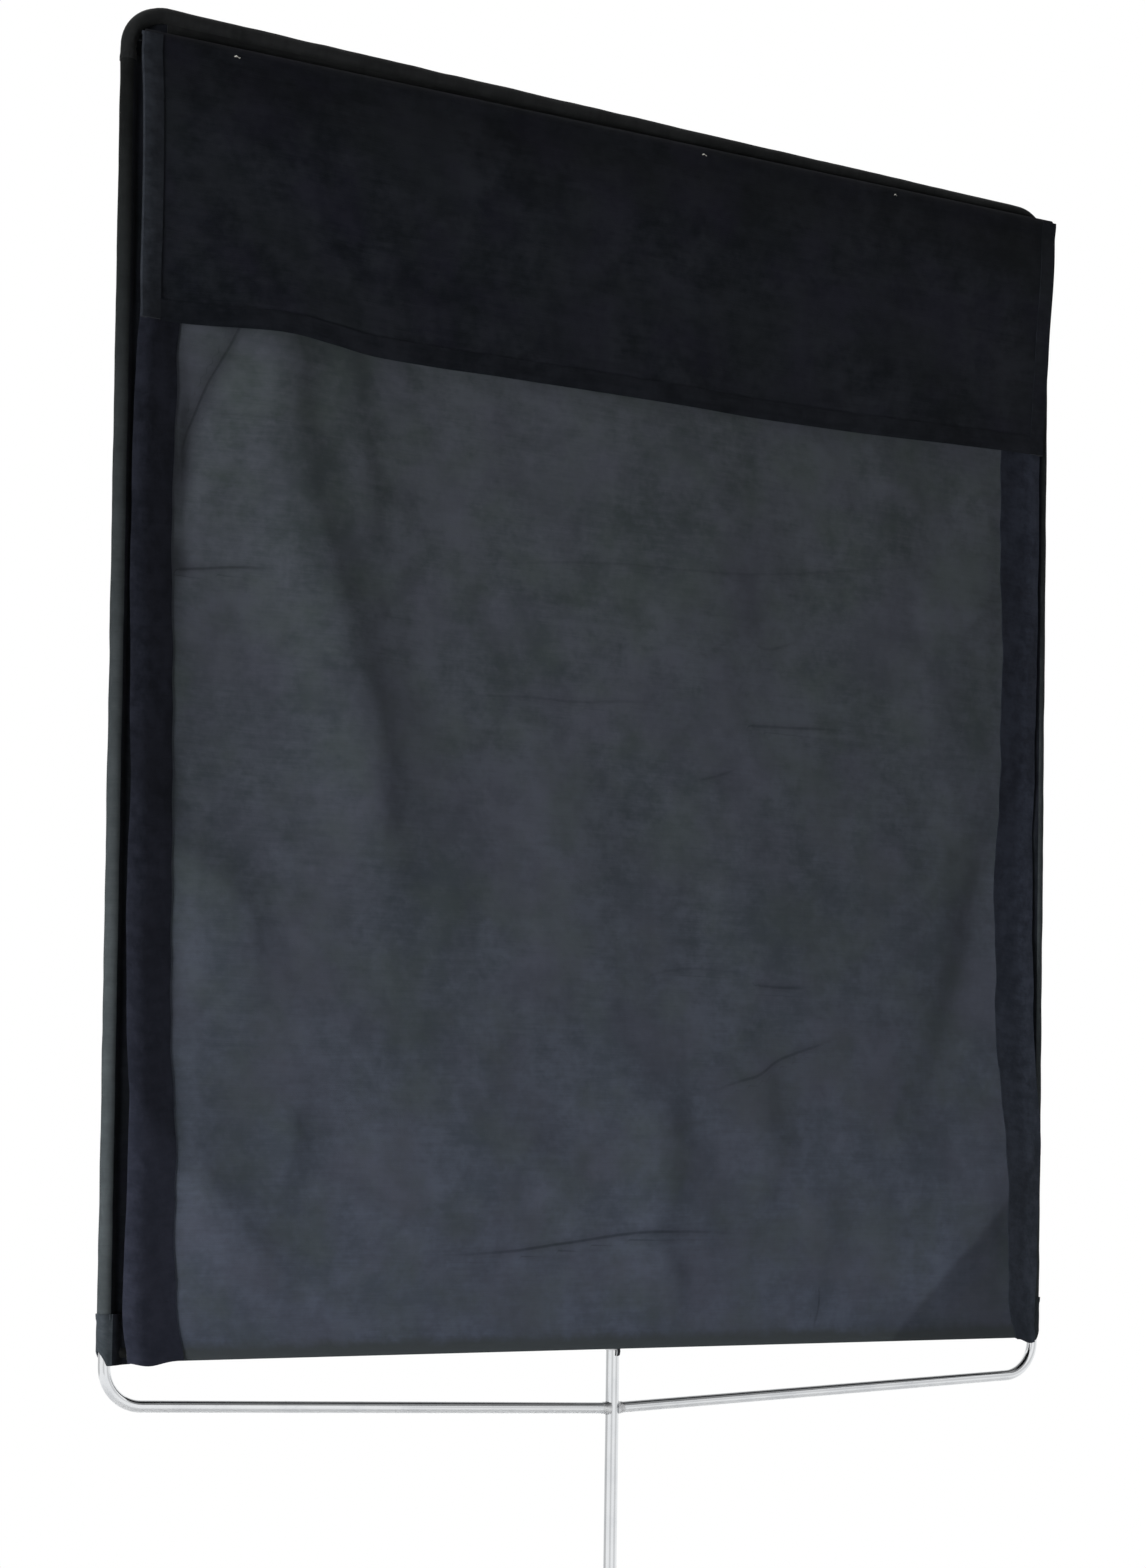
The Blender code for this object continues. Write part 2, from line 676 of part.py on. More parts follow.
def build_flap():
    hinge = hinge_empty("flap_hinge", (0, -flap_hinge_forward, flap_hinge_z), -flap_angle)
    bottom_columns = FLAP_COLUMNS - 2

    def left_place(column, row):
        return flap_spot(column, row, layer_step)

    def right_place(column, row):
        return flap_spot(FLAP_COLUMNS - 1 + column, row, layer_step)

    def bottom_place(column, row):
        spot = flap_spot(column + 1, FLAP_ROWS - 1 + row, layer_step)
        return between_hems(spot, column, bottom_columns)

    sheet("flap_panel", FLAP_COLUMNS, FLAP_ROWS, flap_spot, NAPPED, hinge)
    sheet("flap_hem_left", 1, FLAP_ROWS, left_place, HEM_CLOTH, hinge)
    sheet("flap_hem_right", 1, FLAP_ROWS, right_place, HEM_CLOTH, hinge)
    sheet("flap_hem_bottom", bottom_columns, 1, bottom_place, HEM_CLOTH, hinge)

    roll = rod_mesh((-flap_left, 0, 0), (flap_right, 0, 0), hinge_roll_radius, sides=ROLL_SIDES)
    round_shading(finish("flap_hinge_roll", roll, HEM_CLOTH, hinge))

    behind = -FLAP_HINGE_BACK + CLOTH / 2 + GAP + PATCH_THICKNESS
    drop = flap_hinge_z - flop_hinge_z - patch_centre_height
    for side, sign in (("left", -1), ("right", 1)):
        along_seam = sign * patch_x * math.tan(flap_angle)
        add_patch("flap_loop_" + side, sign * patch_x, behind, -drop - along_seam, hinge)


build_frame()
build_cover()
build_flop()
build_flap()
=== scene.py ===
# %% [markdown]
# A floppy flag is a panel of black cloth that keeps light off part of a film set. A bent
# steel wire holds it, a pin in the middle of the bottom bar goes into a stand, and a second
# sheet, the flop, folds down in front to double the height. Here the flop is folded up and
# its free end is tucked behind a short flap along the top.
#
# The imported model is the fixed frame. Where most pieces lie and how large they are is read
# from it, so that the looks fit the model. The flap's outline and the small sizes, such as
# the height of a fold, are written here.

# %% Load the frame
import json
import math
from contextlib import contextmanager

import bmesh
import bpy
import numpy as np
from mathutils import Matrix, Vector, noise


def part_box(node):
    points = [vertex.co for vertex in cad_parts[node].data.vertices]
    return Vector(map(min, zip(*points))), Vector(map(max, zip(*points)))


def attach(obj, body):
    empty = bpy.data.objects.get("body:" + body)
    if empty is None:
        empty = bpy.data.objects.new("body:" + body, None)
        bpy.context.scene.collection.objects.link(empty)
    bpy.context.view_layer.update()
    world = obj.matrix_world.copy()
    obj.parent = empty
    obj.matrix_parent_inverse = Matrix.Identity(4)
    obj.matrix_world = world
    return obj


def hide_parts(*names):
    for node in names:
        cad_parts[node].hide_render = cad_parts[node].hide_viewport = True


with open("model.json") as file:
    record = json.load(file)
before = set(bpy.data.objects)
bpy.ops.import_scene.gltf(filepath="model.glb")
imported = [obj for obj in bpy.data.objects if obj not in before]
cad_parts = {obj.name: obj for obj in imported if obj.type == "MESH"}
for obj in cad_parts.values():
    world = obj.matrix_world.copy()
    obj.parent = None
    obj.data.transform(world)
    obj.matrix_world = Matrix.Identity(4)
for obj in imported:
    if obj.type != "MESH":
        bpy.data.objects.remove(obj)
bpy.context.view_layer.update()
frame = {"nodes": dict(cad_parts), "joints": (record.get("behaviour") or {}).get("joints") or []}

joints = {joint["name"]: joint for joint in frame["joints"]}
flop_hinge = Vector(joints["flop_hinge"]["pos_m"])
flap_hinge = Vector(joints["retaining_flap_hinge"]["pos_m"])
flap_axis = Vector(joints["retaining_flap_hinge"]["axis"])
flap_slope = flap_axis.z / flap_axis.x

# %% [markdown]
# The steel gives the first sizes. A box of a node holds its lowest and highest corners, so
# the wire's radius is how far the wire reaches back from y = 0, and its centre line lies one
# radius inside the box.

# %% Sizes of the steel
wire_low, wire_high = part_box("frame_wire")
_, pin_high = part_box("mounting_pin")
bar_low, bar_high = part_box("inner_crossbar")
wire_radius = wire_high.y
pin_radius = pin_high.y
side_x = wire_high.x - wire_radius
top_z = wire_high.z - wire_radius
bar_z = wire_low.z + wire_radius
crossbar_z = (bar_low.z + bar_high.z) / 2
SIDES = (("left", -1), ("right", 1))
print("wire", round(wire_radius, 4), "pin", round(pin_radius, 4), "side", round(side_x, 4))

# %% [markdown]
# The camera stands to the left of the flag and a little below its middle. The photo was cut
# out of a larger picture, so the point that the lens looks at lies low in the frame, and
# the lens shift brings it there.

# %% Camera
PHOTO_HEIGHT = 1568
FOCAL_PIXELS = 2684
LOOKED_AT_ROW = 1078
SENSOR = 36.0
STANDS_AT = (-0.960, -1.651, 0.323)
YAW, PITCH, ROLL = math.radians(29.25), math.radians(1.55), math.radians(0.80)

camera_data = bpy.data.cameras.new("camera")
camera_data.sensor_width = SENSOR
camera_data.lens = SENSOR * FOCAL_PIXELS / PHOTO_HEIGHT
camera_data.shift_y = (LOOKED_AT_ROW - PHOTO_HEIGHT / 2) / PHOTO_HEIGHT
camera = bpy.data.objects.new("camera", camera_data)
bpy.context.scene.collection.objects.link(camera)
bpy.context.scene.camera = camera
camera.location = STANDS_AT
ahead = Vector((math.sin(YAW) * math.cos(PITCH), math.cos(YAW) * math.cos(PITCH), math.sin(PITCH)))
level = Vector((math.cos(YAW), -math.sin(YAW), 0))
upright = level.cross(ahead)
to_right = math.cos(ROLL) * level + math.sin(ROLL) * upright
to_top = -math.sin(ROLL) * level + math.cos(ROLL) * upright
turn = [(to_right[i], to_top[i], -ahead[i]) for i in range(3)]
camera.rotation_mode = "QUATERNION"
camera.rotation_quaternion = Matrix(turn).to_quaternion()
print("lens", round(camera_data.lens, 2), "shift", round(camera_data.shift_y, 4))

# %% [markdown]
# Shader maths reads best as Python. A Value wraps one socket, and its operators add Math
# nodes, so `1 - mask * 0.5` builds the nodes that it names.

# %% Shader maths
class Value:
    def __init__(self, nodes, socket):
        self.nodes = nodes
        self.socket = socket

    def maths(self, operation, first, second=0.0):
        return self.nodes.node("Math", {"operation": operation}, {0: first, 1: second})

    def __add__(self, other):
        return self.maths("ADD", self, other)

    def __sub__(self, other):
        return self.maths("SUBTRACT", self, other)

    def __rsub__(self, other):
        return self.maths("SUBTRACT", other, self)

    def __mul__(self, other):
        return self.maths("MULTIPLY", self, other)

    __radd__ = __add__
    __rmul__ = __mul__

    def sine(self):
        return self.maths("SINE", self)

    def size(self):
        return self.maths("ABSOLUTE", self)

    def larger(self, other):
        return self.maths("MAXIMUM", self, other)

    def within(self, low, high):
        """0 below low, 1 above high, and a smooth rise between."""
        settings = {"interpolation_type": "SMOOTHSTEP"}
        return self.nodes.node("MapRange", settings, {0: self, 1: low, 2: high})


# %% [markdown]
# Every other node comes from one method, which sets the node's settings first and then its
# sockets. It works on any node tree, also on the world's. A Finish is one material: it starts
# from the Principled shader, and its other methods add what most finishes use.

# %% Node trees and finishes
class Nodes:
    def __init__(self, tree):
        self.tree = tree

    def node(self, kind, settings=None, sockets=None, output=0):
        made = self.tree.nodes.new("ShaderNode" + kind)
        for name, value in (settings or {}).items():
            setattr(made, name, value)
        for name, value in (sockets or {}).items():
            self.feed(made.inputs[name], value)
        return Value(self, made.outputs[output])

    def feed(self, socket, value):
        if isinstance(value, Value):
            self.tree.links.new(value.socket, socket)
        elif isinstance(value, tuple) and len(value) == 3 and socket.type == "RGBA":
            socket.default_value = (*value, 1.0)
        else:
            socket.default_value = value


class Finish(Nodes):
    def __init__(self, name, **uniform):
        self.material = bpy.data.materials.new(name)
        self.material.use_nodes = True
        super().__init__(self.material.node_tree)
        self.shader = self.tree.nodes["Principled BSDF"]
        self.shade(**uniform)

    def shade(self, **sockets):
        for name, value in sockets.items():
            self.feed(self.shader.inputs[name.replace("_", " ")], value)
        return self.material

    def stretched(self, source, scale):
        """Coordinates scaled unevenly, so that a pattern on them is drawn out."""
        return self.node("Mapping", {"vector_type": "POINT"}, {"Vector": source, "Scale": scale})

    def noise(self, source, scale, detail=3.0, roughness=0.5):
        sockets = {"Vector": source, "Scale": scale, "Detail": detail, "Roughness": roughness}
        return self.node("TexNoise", {}, sockets)

    def blend(self, share, first, second):
        sockets = {0: share, 6: first, 7: second}
        return self.node("Mix", {"data_type": "RGBA"}, sockets, output=2)

    def bump(self, height, distance, strength=1.0):
        sockets = {"Height": height, "Distance": distance, "Strength": strength}
        return self.node("Bump", {}, sockets)

    def scaled(self, colour, gain):
        return self.node("VectorMath", {"operation": "SCALE"}, {0: colour, "Scale": gain})

    def show(self, share, first, second):
        """Let the material show a mix of two shaders."""
        mixed = self.node("MixShader", {}, {0: share, 1: first, 2: second})
        self.feed(self.tree.nodes["Material Output"].inputs["Surface"], mixed)
        return self.material


# %% [markdown]
# The wire and the pin are zinc plated and bright. The plating is even but never perfect: it
# has cloudy patches, fine scuffs where stands have clamped it, and a slightly duller skin
# there. The noise is read in three dimensions, so that it runs round the bends unbroken.

# %% Plated steel
ZINC = (0.78, 0.795, 0.81)
ZINC_CLOUD = (0.62, 0.64, 0.67)


def plated_steel(name, drawn):
    made = Finish(name, Metallic=1.0)
    place = made.node("TexCoord", output=3)
    cloud = made.noise(place, 38.0, 4.0, 0.55)
    grain = made.noise(made.stretched(place, drawn), 1.0, 2.0, 0.6)
    scuff = made.noise(place, 900.0, 2.0, 0.7)
    marks = (scuff * cloud).within(0.30, 0.40)
    colour = made.blend(cloud.within(0.42, 0.68) * 0.35 + marks * 0.2, ZINC, ZINC_CLOUD)
    rough = 0.05 + cloud * 0.06 + grain * 0.04 + marks * 0.06
    height = grain * 0.6 + scuff * 0.4
    return made.shade(Base_Color=colour, Roughness=rough, Normal=made.bump(height, 0.00002, 0.4))


wire_steel = plated_steel("plated_wire", (700.0, 700.0, 700.0))
pin_steel = plated_steel("plated_pin", (2600.0, 2600.0, 40.0))
print("steel finishes", wire_steel.name, pin_steel.name)

# %% [markdown]
# A weld bead is the same steel after it has been melted: rougher, with a grey tint of
# burnt zinc.

# %% Weld metal
def weld_metal():
    made = Finish("weld_metal", Metallic=1.0)
    place = made.node("TexCoord", output=3)
    spots = made.noise(place, 520.0, 4.0, 0.6)
    tint = made.noise(place, 160.0, 2.0, 0.5)
    colour = made.blend(tint.within(0.40, 0.62), (0.66, 0.67, 0.68), (0.44, 0.44, 0.45))
    rough = 0.26 + spots * 0.2
    return made.shade(Base_Color=colour, Roughness=rough, Normal=made.bump(spots, 0.0003, 0.5))


bead_metal = weld_metal()
print("weld finish", bead_metal.name)

# %% [markdown]
# The cloth is a plain cotton weave, brushed to a nap on its black face and left bare on its
# grey reverse. Both sides share one recipe: crossing threads, thicker threads here and there
# that run across the cloth, wide patches where the dye took unevenly, casts of other tints
# and a few specks of lint. A cloth can also get painted light towards its lower end, a painted
# highlight along a hem's rolled edge, or painted shade further up. The flop gets painted shade
# in a strip along its lower edge, in its lower right corner and along its pressed lines. The
# pattern reads the cloth's own flat coordinates in metres, so the threads follow every fold.

# %% Cloth finishes
THREAD_PITCH = 0.0007
TONE_SPREAD = 0.11
GROOVE_ENDS = (0.0003, 0.0015)
GROOVE_SHADE_ENDS = 0.0065
LOWER_EDGE_SHADE_STRIP = (0.0125, 0.0210)
CORNER_SHADE = (0.587, 0.597)


def cloth_finish(
    name,
    dark,
    light,
    nap,
    lint=0.0,
    wide=11.0,
    lit_low=None,
    lit_low_heights=(0, 1),
    tints=(),
    lower_edge_shade=None,
    lit_edge=None,
    shaded=None,
):
    made = Finish(name, Roughness=0.95, Sheen_Weight=0.03, Sheen_Roughness=0.45, Specular_IOR_Level=0.08)
    flat = made.node("UVMap", {"uv_map": "cloth"})
    across, up = (made.node("SeparateXYZ", {}, {0: flat}, output=axis) for axis in "XY")
    wander = made.noise(flat, 130.0, 2.0) * 0.0006
    warp = ((across + wander) * (math.tau / THREAD_PITCH)).sine()
    weft = ((up + wander) * (math.tau / THREAD_PITCH)).sine()
    weave = warp * weft * 0.5 + 0.5
    thick = made.noise(made.stretched(flat, (55.0, 1250.0, 1.0)), 1.0, 2.0, 0.5)
    streak = made.noise(made.stretched(flat, (20.0, 270.0, 1.0)), 1.0, 3.0, 0.6)
    patch = made.noise(flat, wide, 5.0, 0.55)
    blot = made.noise(flat, wide * 5.0, 3.0, 0.6)
    fleck = made.noise(flat, wide * 17.0, 2.0, 0.6)
    speck = made.noise(flat, 1500.0, 1.0, 0.5).within(0.80 - lint, 0.84 - lint)
    lint_colour = tuple(part * 4.5 for part in light)
    # painted light: the tones turn lighter towards the cloth's lower end
    if lit_low:
        height = (up + (patch - 0.5) * 0.12).within(*lit_low_heights)
        dark = made.blend(height, lit_low[0], dark)
        light = made.blend(height, lit_low[1], light)
    tone = patch * 0.36 + blot * 0.29 + fleck * 0.14 + thick * 0.09 + streak * 0.12
    colour = made.blend(tone.within(0.5 - TONE_SPREAD, 0.5 + TONE_SPREAD), dark, light)
    for order, tint in enumerate(tints):
        cast = made.noise(flat, wide * (1.6 - 0.5 * order), 4.0, 0.6)
        colour = made.blend(cast.within(0.42, 0.68) * 0.45, colour, tint)
    groove = 0.0
    if lower_edge_shade:
        pressed = made.node("Attribute", {"attribute_name": "pressed"}, output=2)
        away = made.node("Attribute", {"attribute_name": "crease_away"}, output=2).size()
        groove = pressed * (1.0 - away.within(*GROOVE_ENDS))
        # painted shade in and beside each pressed line
        crease_shade = groove * 0.30 + pressed * (1.0 - away.within(0.0, GROOVE_SHADE_ENDS)) * 0.14
        colour = made.scaled(colour, 1.0 - crease_shade)
        # painted shade in a strip along the lower edge, where the cloth turns under its roll
        colour = made.blend((up + (blot - 0.5) * 0.012).within(*LOWER_EDGE_SHADE_STRIP), lower_edge_shade, colour)
        # painted shade in the lower right corner
        corner = (across - up + (patch + blot - 1.0) * 0.012).within(*CORNER_SHADE)
        colour = made.scaled(colour, 1.0 - corner * 0.26)
    # painted highlight: lighter towards a hem's rolled outer edge
    if lit_edge:
        start, end, gain = lit_edge
        edge = (across + (blot - 0.5) * 0.012).within(start, end)
        colour = made.scaled(colour, 1.0 + edge * gain)
    if shaded:
        start, end, loss = shaded
        depth = (up + (blot - 0.5) * 0.010).within(start, end)
        colour = made.scaled(colour, 1.0 - depth * loss)
    colour = made.blend(speck * 0.35, colour, lint_colour)
    fuzz = made.noise(flat, 2400.0, 2.0, 0.7)
    relief = weave * (1.0 - nap) + thick * 0.8 + fuzz * nap - groove * 1.6
    return made.shade(Base_Color=colour, Normal=made.bump(relief, 0.00016, 0.75))


# %% [markdown]
# The recipes start from three cloths, navy, black and grey, and change only what differs.
# Dark and light are the two ends of a cloth's tones. A lighter pair of tones, a painted light,
# takes their place low down, and the entry after it gives the heights in metres between which
# it does so.

# %% Cloth recipes
navy = {
    "dark": (0.0085, 0.0105, 0.0155),
    "light": (0.0190, 0.0225, 0.0320),
    "lit_low": [(0.0125, 0.0155, 0.0205), (0.0230, 0.0270, 0.0360)],
    "lit_low_heights": (-0.05, 0.45),
    "nap": 0.7,
    "wide": 20.0,
}
black = {
    "dark": (0.0032, 0.0041, 0.0056),
    "light": (0.0112, 0.0127, 0.0164),
    "tints": [(0.0080, 0.0076, 0.0140), (0.0062, 0.0080, 0.0086)],
    "nap": 0.8,
    "lint": 0.01,
    "wide": 10.0,
}
grey = {
    "dark": (0.0262, 0.0320, 0.0342),
    "light": (0.0475, 0.0530, 0.0625),
    "lit_low": [(0.0440, 0.0530, 0.0725), (0.0630, 0.0735, 0.1030)],
    "lit_low_heights": (-0.25, 0.72),
    "tints": [(0.0390, 0.0490, 0.0465), (0.0495, 0.0512, 0.0690)],
    "nap": 0.2,
}
finishes = {
    "reverse_grey": grey,
    # the flop's grey also gets painted shade along its lower edge, in a corner and in its pressed lines
    "flop_grey": {**grey, "lower_edge_shade": (0.0370, 0.0430, 0.0470)},
    # the sleeves' grey: near black at the top as painted shade, and painted light low down
    "sleeve_grey": {
        "dark": (0.0026, 0.0029, 0.0029),
        "light": (0.0058, 0.0064, 0.0064),
        "lit_low": [(0.0350, 0.0410, 0.0440), (0.0500, 0.0580, 0.0620)],
        "lit_low_heights": (0.10, 0.85),
        "nap": 0.2,
    },
    # a darker copy of the sleeves' grey, painted shade for the top and bottom sleeves and the seam
    # allowance
    "shaded_sleeve_grey": {"dark": (0.0070, 0.0076, 0.0078), "light": (0.0140, 0.0148, 0.0152), "nap": 0.2},
    "face_black": black,
    "flap_face": {**black, "shaded": (0.115, 0.184, 0.38)},
    "flap_low_hem": {
        **black,
        "dark": (0.0028, 0.0036, 0.0050),
        "light": (0.0082, 0.0094, 0.0124),
        "tints": (),
    },
    # the lighter edges in these hem recipes are painted highlights on rolled edges
    "flap_hem": {
        "dark": (0.0056, 0.0066, 0.0084),
        "light": (0.0112, 0.0130, 0.0164),
        "lit_edge": (0.004, 0.013, 0.7),
        "nap": 0.7,
        "wide": 20.0,
    },
    "hem_black": {
        "dark": (0.0032, 0.0037, 0.0055),
        "light": (0.0068, 0.0076, 0.0112),
        "lit_low": [(0.0100, 0.0115, 0.0175), (0.0155, 0.0170, 0.0255)],
        "lit_low_heights": (-0.05, 0.42),
        "lit_edge": (0.022, 0.045, 0.9),
        "nap": 0.7,
        "wide": 20.0,
    },
    "hem_navy": navy,
    "hem_right": {
        **navy,
        "dark": (0.0066, 0.0078, 0.0118),
        "light": (0.0140, 0.0165, 0.0240),
        "lit_edge": (0.016, 0.042, 1.1),
    },
    "cuff_grey": {
        "dark": (0.0250, 0.0305, 0.0350),
        "light": (0.0450, 0.0525, 0.0610),
        "nap": 0.6,
        "wide": 24.0,
    },
}
cloths = {name: cloth_finish(name, **recipe) for name, recipe in finishes.items()}
reverse_grey, face_black, hem_navy = (cloths[name] for name in ("reverse_grey", "face_black", "hem_navy"))
print("cloth finishes", list(cloths))

# %% [markdown]
# Thread and touch tape are small, so their finishes are simple: a twisted thread is a fine
# ripple of two tones, and the tape is a rough black pile.

# %% Thread and tape finishes
def thread_finish(name, colour):
    made = Finish(name, Roughness=0.8)
    place = made.node("TexCoord", output=3)
    twist = made.noise(place, 2600.0, 1.0)
    tint = made.blend(twist, colour, tuple(c * 0.55 for c in colour))
    return made.shade(Base_Color=tint, Normal=made.bump(twist, 0.0001, 0.6))


def pile_finish(name, scale, depth):
    made = Finish(name, Roughness=0.8, Sheen_Weight=0.3)
    place = made.node("TexCoord", output=3)
    tuft = made.noise(place, scale, 3.0, 0.7)
    colour = made.blend(tuft.within(0.35, 0.7), (0.003, 0.003, 0.0035), (0.017, 0.017, 0.019))
    return made.shade(Base_Color=colour, Normal=made.bump(tuft, depth, 1.0))


black_thread = thread_finish("black_thread", (0.0065, 0.0070, 0.0100))
white_thread = thread_finish("white_thread", (0.55, 0.54, 0.50))
loop_pile = pile_finish("loop_pile", 1400.0, 0.0008)
hook_pile = pile_finish("hook_pile", 900.0, 0.0002)
print("small finishes", [m.name for m in (black_thread, white_thread, loop_pile, hook_pile)])

# %% [markdown]
# These helpers keep the modelling cells short. Operators act on all that is selected, and
# loading the frame leaves its nodes selected, so a new primitive is always added with the
# selection cleared, and parts of it are then chosen by their place.

# %% Modelling helpers
def make_active(made):
    bpy.ops.object.select_all(action="DESELECT")
    made.select_set(True)
    bpy.context.view_layer.objects.active = made


def add(operator, name, **settings):
    """Add a primitive under its own name and put its place into its mesh."""
    bpy.ops.object.select_all(action="DESELECT")
    operator(**settings)
    made = bpy.context.object
    made.name = name
    made.data.name = name
    bpy.ops.object.transform_apply(location=True, rotation=True, scale=True)
    return made


def disc(name, sides, radius, place, along):
    """A round face that looks along a direction, ready to be extruded."""
    return add(
        bpy.ops.mesh.primitive_circle_add,
        name,
        vertices=sides,
        radius=radius,
        fill_type="NGON",
        location=place,
        rotation=along.to_track_quat("Z", "Y").to_euler(),
    )


@contextmanager
def editing(made):
    make_active(made)
    bpy.ops.object.mode_set(mode="EDIT")
    yield
    bpy.ops.object.mode_set(mode="OBJECT")


def choose(made, kind, test):
    """In edit mode, select the verts, edges or faces whose middle passes a test."""
    bpy.ops.mesh.select_mode(type=kind)
    bpy.ops.mesh.select_all(action="DESELECT")
    bm = bmesh.from_edit_mesh(made.data)
    parts = {"VERT": bm.verts, "EDGE": bm.edges, "FACE": bm.faces}[kind]
    for part in parts:
        corners = [part] if kind == "VERT" else part.verts
        middle = sum((vert.co for vert in corners), Vector()) / len(corners)
        if test(middle):
            part.select_set(True)
    bm.select_flush_mode()
    bmesh.update_edit_mesh(made.data)


def face_outwards():
    """In edit mode, turn all faces outwards."""
    bpy.ops.mesh.select_all(action="SELECT")
    bpy.ops.mesh.normals_make_consistent(inside=False)


# %% [markdown]
# A modifier is applied as soon as it is added, so every piece ends as a plain mesh. Whole
# meshes are moved as arrays of points. All pieces are handed over in the same way, with
# their finish, the body that they move with and the nodes of the model that they stand for.

# %% Finishing helpers
def modify(made, kind, **settings):
    """Add a modifier and apply it."""
    step = made.modifiers.new(kind.lower(), kind)
    for name, value in settings.items():
        setattr(step, name, value)
    make_active(made)
    bpy.ops.object.modifier_apply(modifier=step.name)


def points_of(mesh):
    flat = np.empty(len(mesh.vertices) * 3)
    mesh.vertices.foreach_get("co", flat)
    return flat.reshape(-1, 3)


def put_points(mesh, points):
    mesh.vertices.foreach_set("co", np.ascontiguousarray(points, dtype=np.float64).ravel())
    mesh.update()


def hand_over(made, body, slot, nodes, *finishes, angle=50):
    """Give a finished piece its shading, finish and body, and hide the nodes of the model it stands for."""
    make_active(made)
    bpy.ops.object.shade_smooth_by_angle(angle=math.radians(angle))
    if not made.data.materials:
        for finish in finishes:
            made.data.materials.append(finish)
    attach(made, body)
    if nodes:
        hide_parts(*nodes)
    print(made.name, len(made.data.polygons), "faces on", body)
    return made


# %% [markdown]
# The frame is one wire. It starts at the pin, runs out along the bottom bar, turns up,
# goes round three more bends and comes back to the pin. A disc the size of the wire is
# extruded along each straight run and spun round each bend, as a bending machine would
# turn it.

# %% Frame wire
WIRE_SIDES = 40
BEND_STEPS = 14
WIRE_BEND = 0.026
BAR_RISE = 0.014
WIRE_IN_WELD = 0.6
RING_GAP = 0.002


def extrude_run(run):
    """Extrude a straight run, with a ring close to each end that keeps the bends' shading out."""
    step = run.normalized() * RING_GAP
    for part in (step, run - 2 * step, step):
        bpy.ops.mesh.extrude_region_move(TRANSFORM_OT_translate={"value": part})


corner_z = bar_z + BAR_RISE
middle = Vector((0, 0, bar_z))
corners = [
    Vector((-side_x, 0, corner_z)),
    Vector((-side_x, 0, top_z)),
    Vector((side_x, 0, top_z)),
    Vector((side_x, 0, corner_z)),
    middle,
]
along = (corners[0] - middle).normalized()
at = middle + along * pin_radius * WIRE_IN_WELD
wire = disc("plated_frame_wire", WIRE_SIDES, wire_radius, at, along)
with editing(wire):
    bpy.ops.mesh.select_all(action="SELECT")
    for corner, after in zip(corners, corners[1:]):
        along = (corner - at).normalized()
        onward = (after - corner).normalized()
        bend = along.angle(onward)
        setback = WIRE_BEND * math.tan(bend / 2)
        centre = corner + (onward - along).normalized() * WIRE_BEND / math.cos(bend / 2)
        extrude_run(corner - along * setback - at)
        axis = along.cross(onward).normalized()
        bpy.ops.mesh.spin(steps=BEND_STEPS, angle=-bend, center=centre, axis=axis)
        at = corner + onward * setback
    along = (middle - at).normalized()
    extrude_run(middle - along * pin_radius * WIRE_IN_WELD - at)
    face_outwards()
reach = points_of(wire.data)
print("wire reaches", reach.min(0).round(4), reach.max(0).round(4))
hand_over(wire, "frame", "plated_wire", ["frame_wire"], wire_steel, angle=40)

# %% [markdown]
# The pin is a plain rod with its lower rim turned back, so that it finds the hole of a
# clamp. It starts as a cylinder, and the rim is bevelled. One more ring close above the bevel
# keeps the rim's rounding out of the shading of the long straight side.

# %% Mounting pin
PIN_SIDES = 56
PIN_CHAMFER = 0.0012
NEAR = 0.0001

pin = add(
    bpy.ops.mesh.primitive_cylinder_add,
    "plated_pin",
    vertices=PIN_SIDES,
    radius=pin_radius,
    depth=pin_high.z,
    location=(0, 0, pin_high.z / 2),
)
with editing(pin):
    choose(pin, "EDGE", lambda at: at.z < NEAR)
    bpy.ops.mesh.bevel(offset=PIN_CHAMFER, segments=3, affect="EDGES")
    bpy.ops.mesh.select_all(action="SELECT")
    bpy.ops.mesh.bisect(plane_co=(0, 0, PIN_CHAMFER + RING_GAP), plane_no=(0, 0, 1))
hand_over(pin, "frame", "plated_wire", ["mounting_pin"], pin_steel, angle=30)

# %% [markdown]
# Where the bar meets the pin, a welder has run a bead round the joint. It is a fillet: full
# against the pin and thinning out along the bar. Rings are extruded outwards and drawn in one
# after another, and a noise then raises the small lumps of each puddle. The crossbar and its
# beads are hidden in the cover, so they keep the model's shapes and only get their finish.

# %% Weld beads
BEAD_SIDES = 36
BEAD_RISE = 0.0015
BEAD_REACH = 0.0042
BEAD_RINGS = 6
BEAD_LUMP = 0.00022
PUDDLE = 0.0016


def weld_bead(name, node, along):
    start = middle + along * pin_radius * WIRE_IN_WELD
    reach = pin_radius * (1 - WIRE_IN_WELD) + BEAD_REACH
    size = wire_radius + BEAD_RISE
    made = disc(name, BEAD_SIDES, size, start, along)
    with editing(made):
        bpy.ops.mesh.select_all(action="SELECT")
        for ring in range(1, BEAD_RINGS + 1):
            share = ring / BEAD_RINGS
            smaller = wire_radius + BEAD_RISE * (1 - share) ** 2
            step, centre = along * reach / BEAD_RINGS, start + along * reach * share
            bpy.ops.mesh.extrude_region_move(TRANSFORM_OT_translate={"value": step})
            bpy.ops.transform.resize(value=(smaller / size,) * 3, center_override=centre)
            size = smaller
        face_outwards()
    for vert in made.data.vertices:
        out = vert.co - middle
        out -= along * out.dot(along)
        if out.length > wire_radius * 0.9:
            vert.co += out.normalized() * BEAD_LUMP * noise.noise(vert.co / PUDDLE)
    return hand_over(made, "frame", "weld_metal", [node], bead_metal)


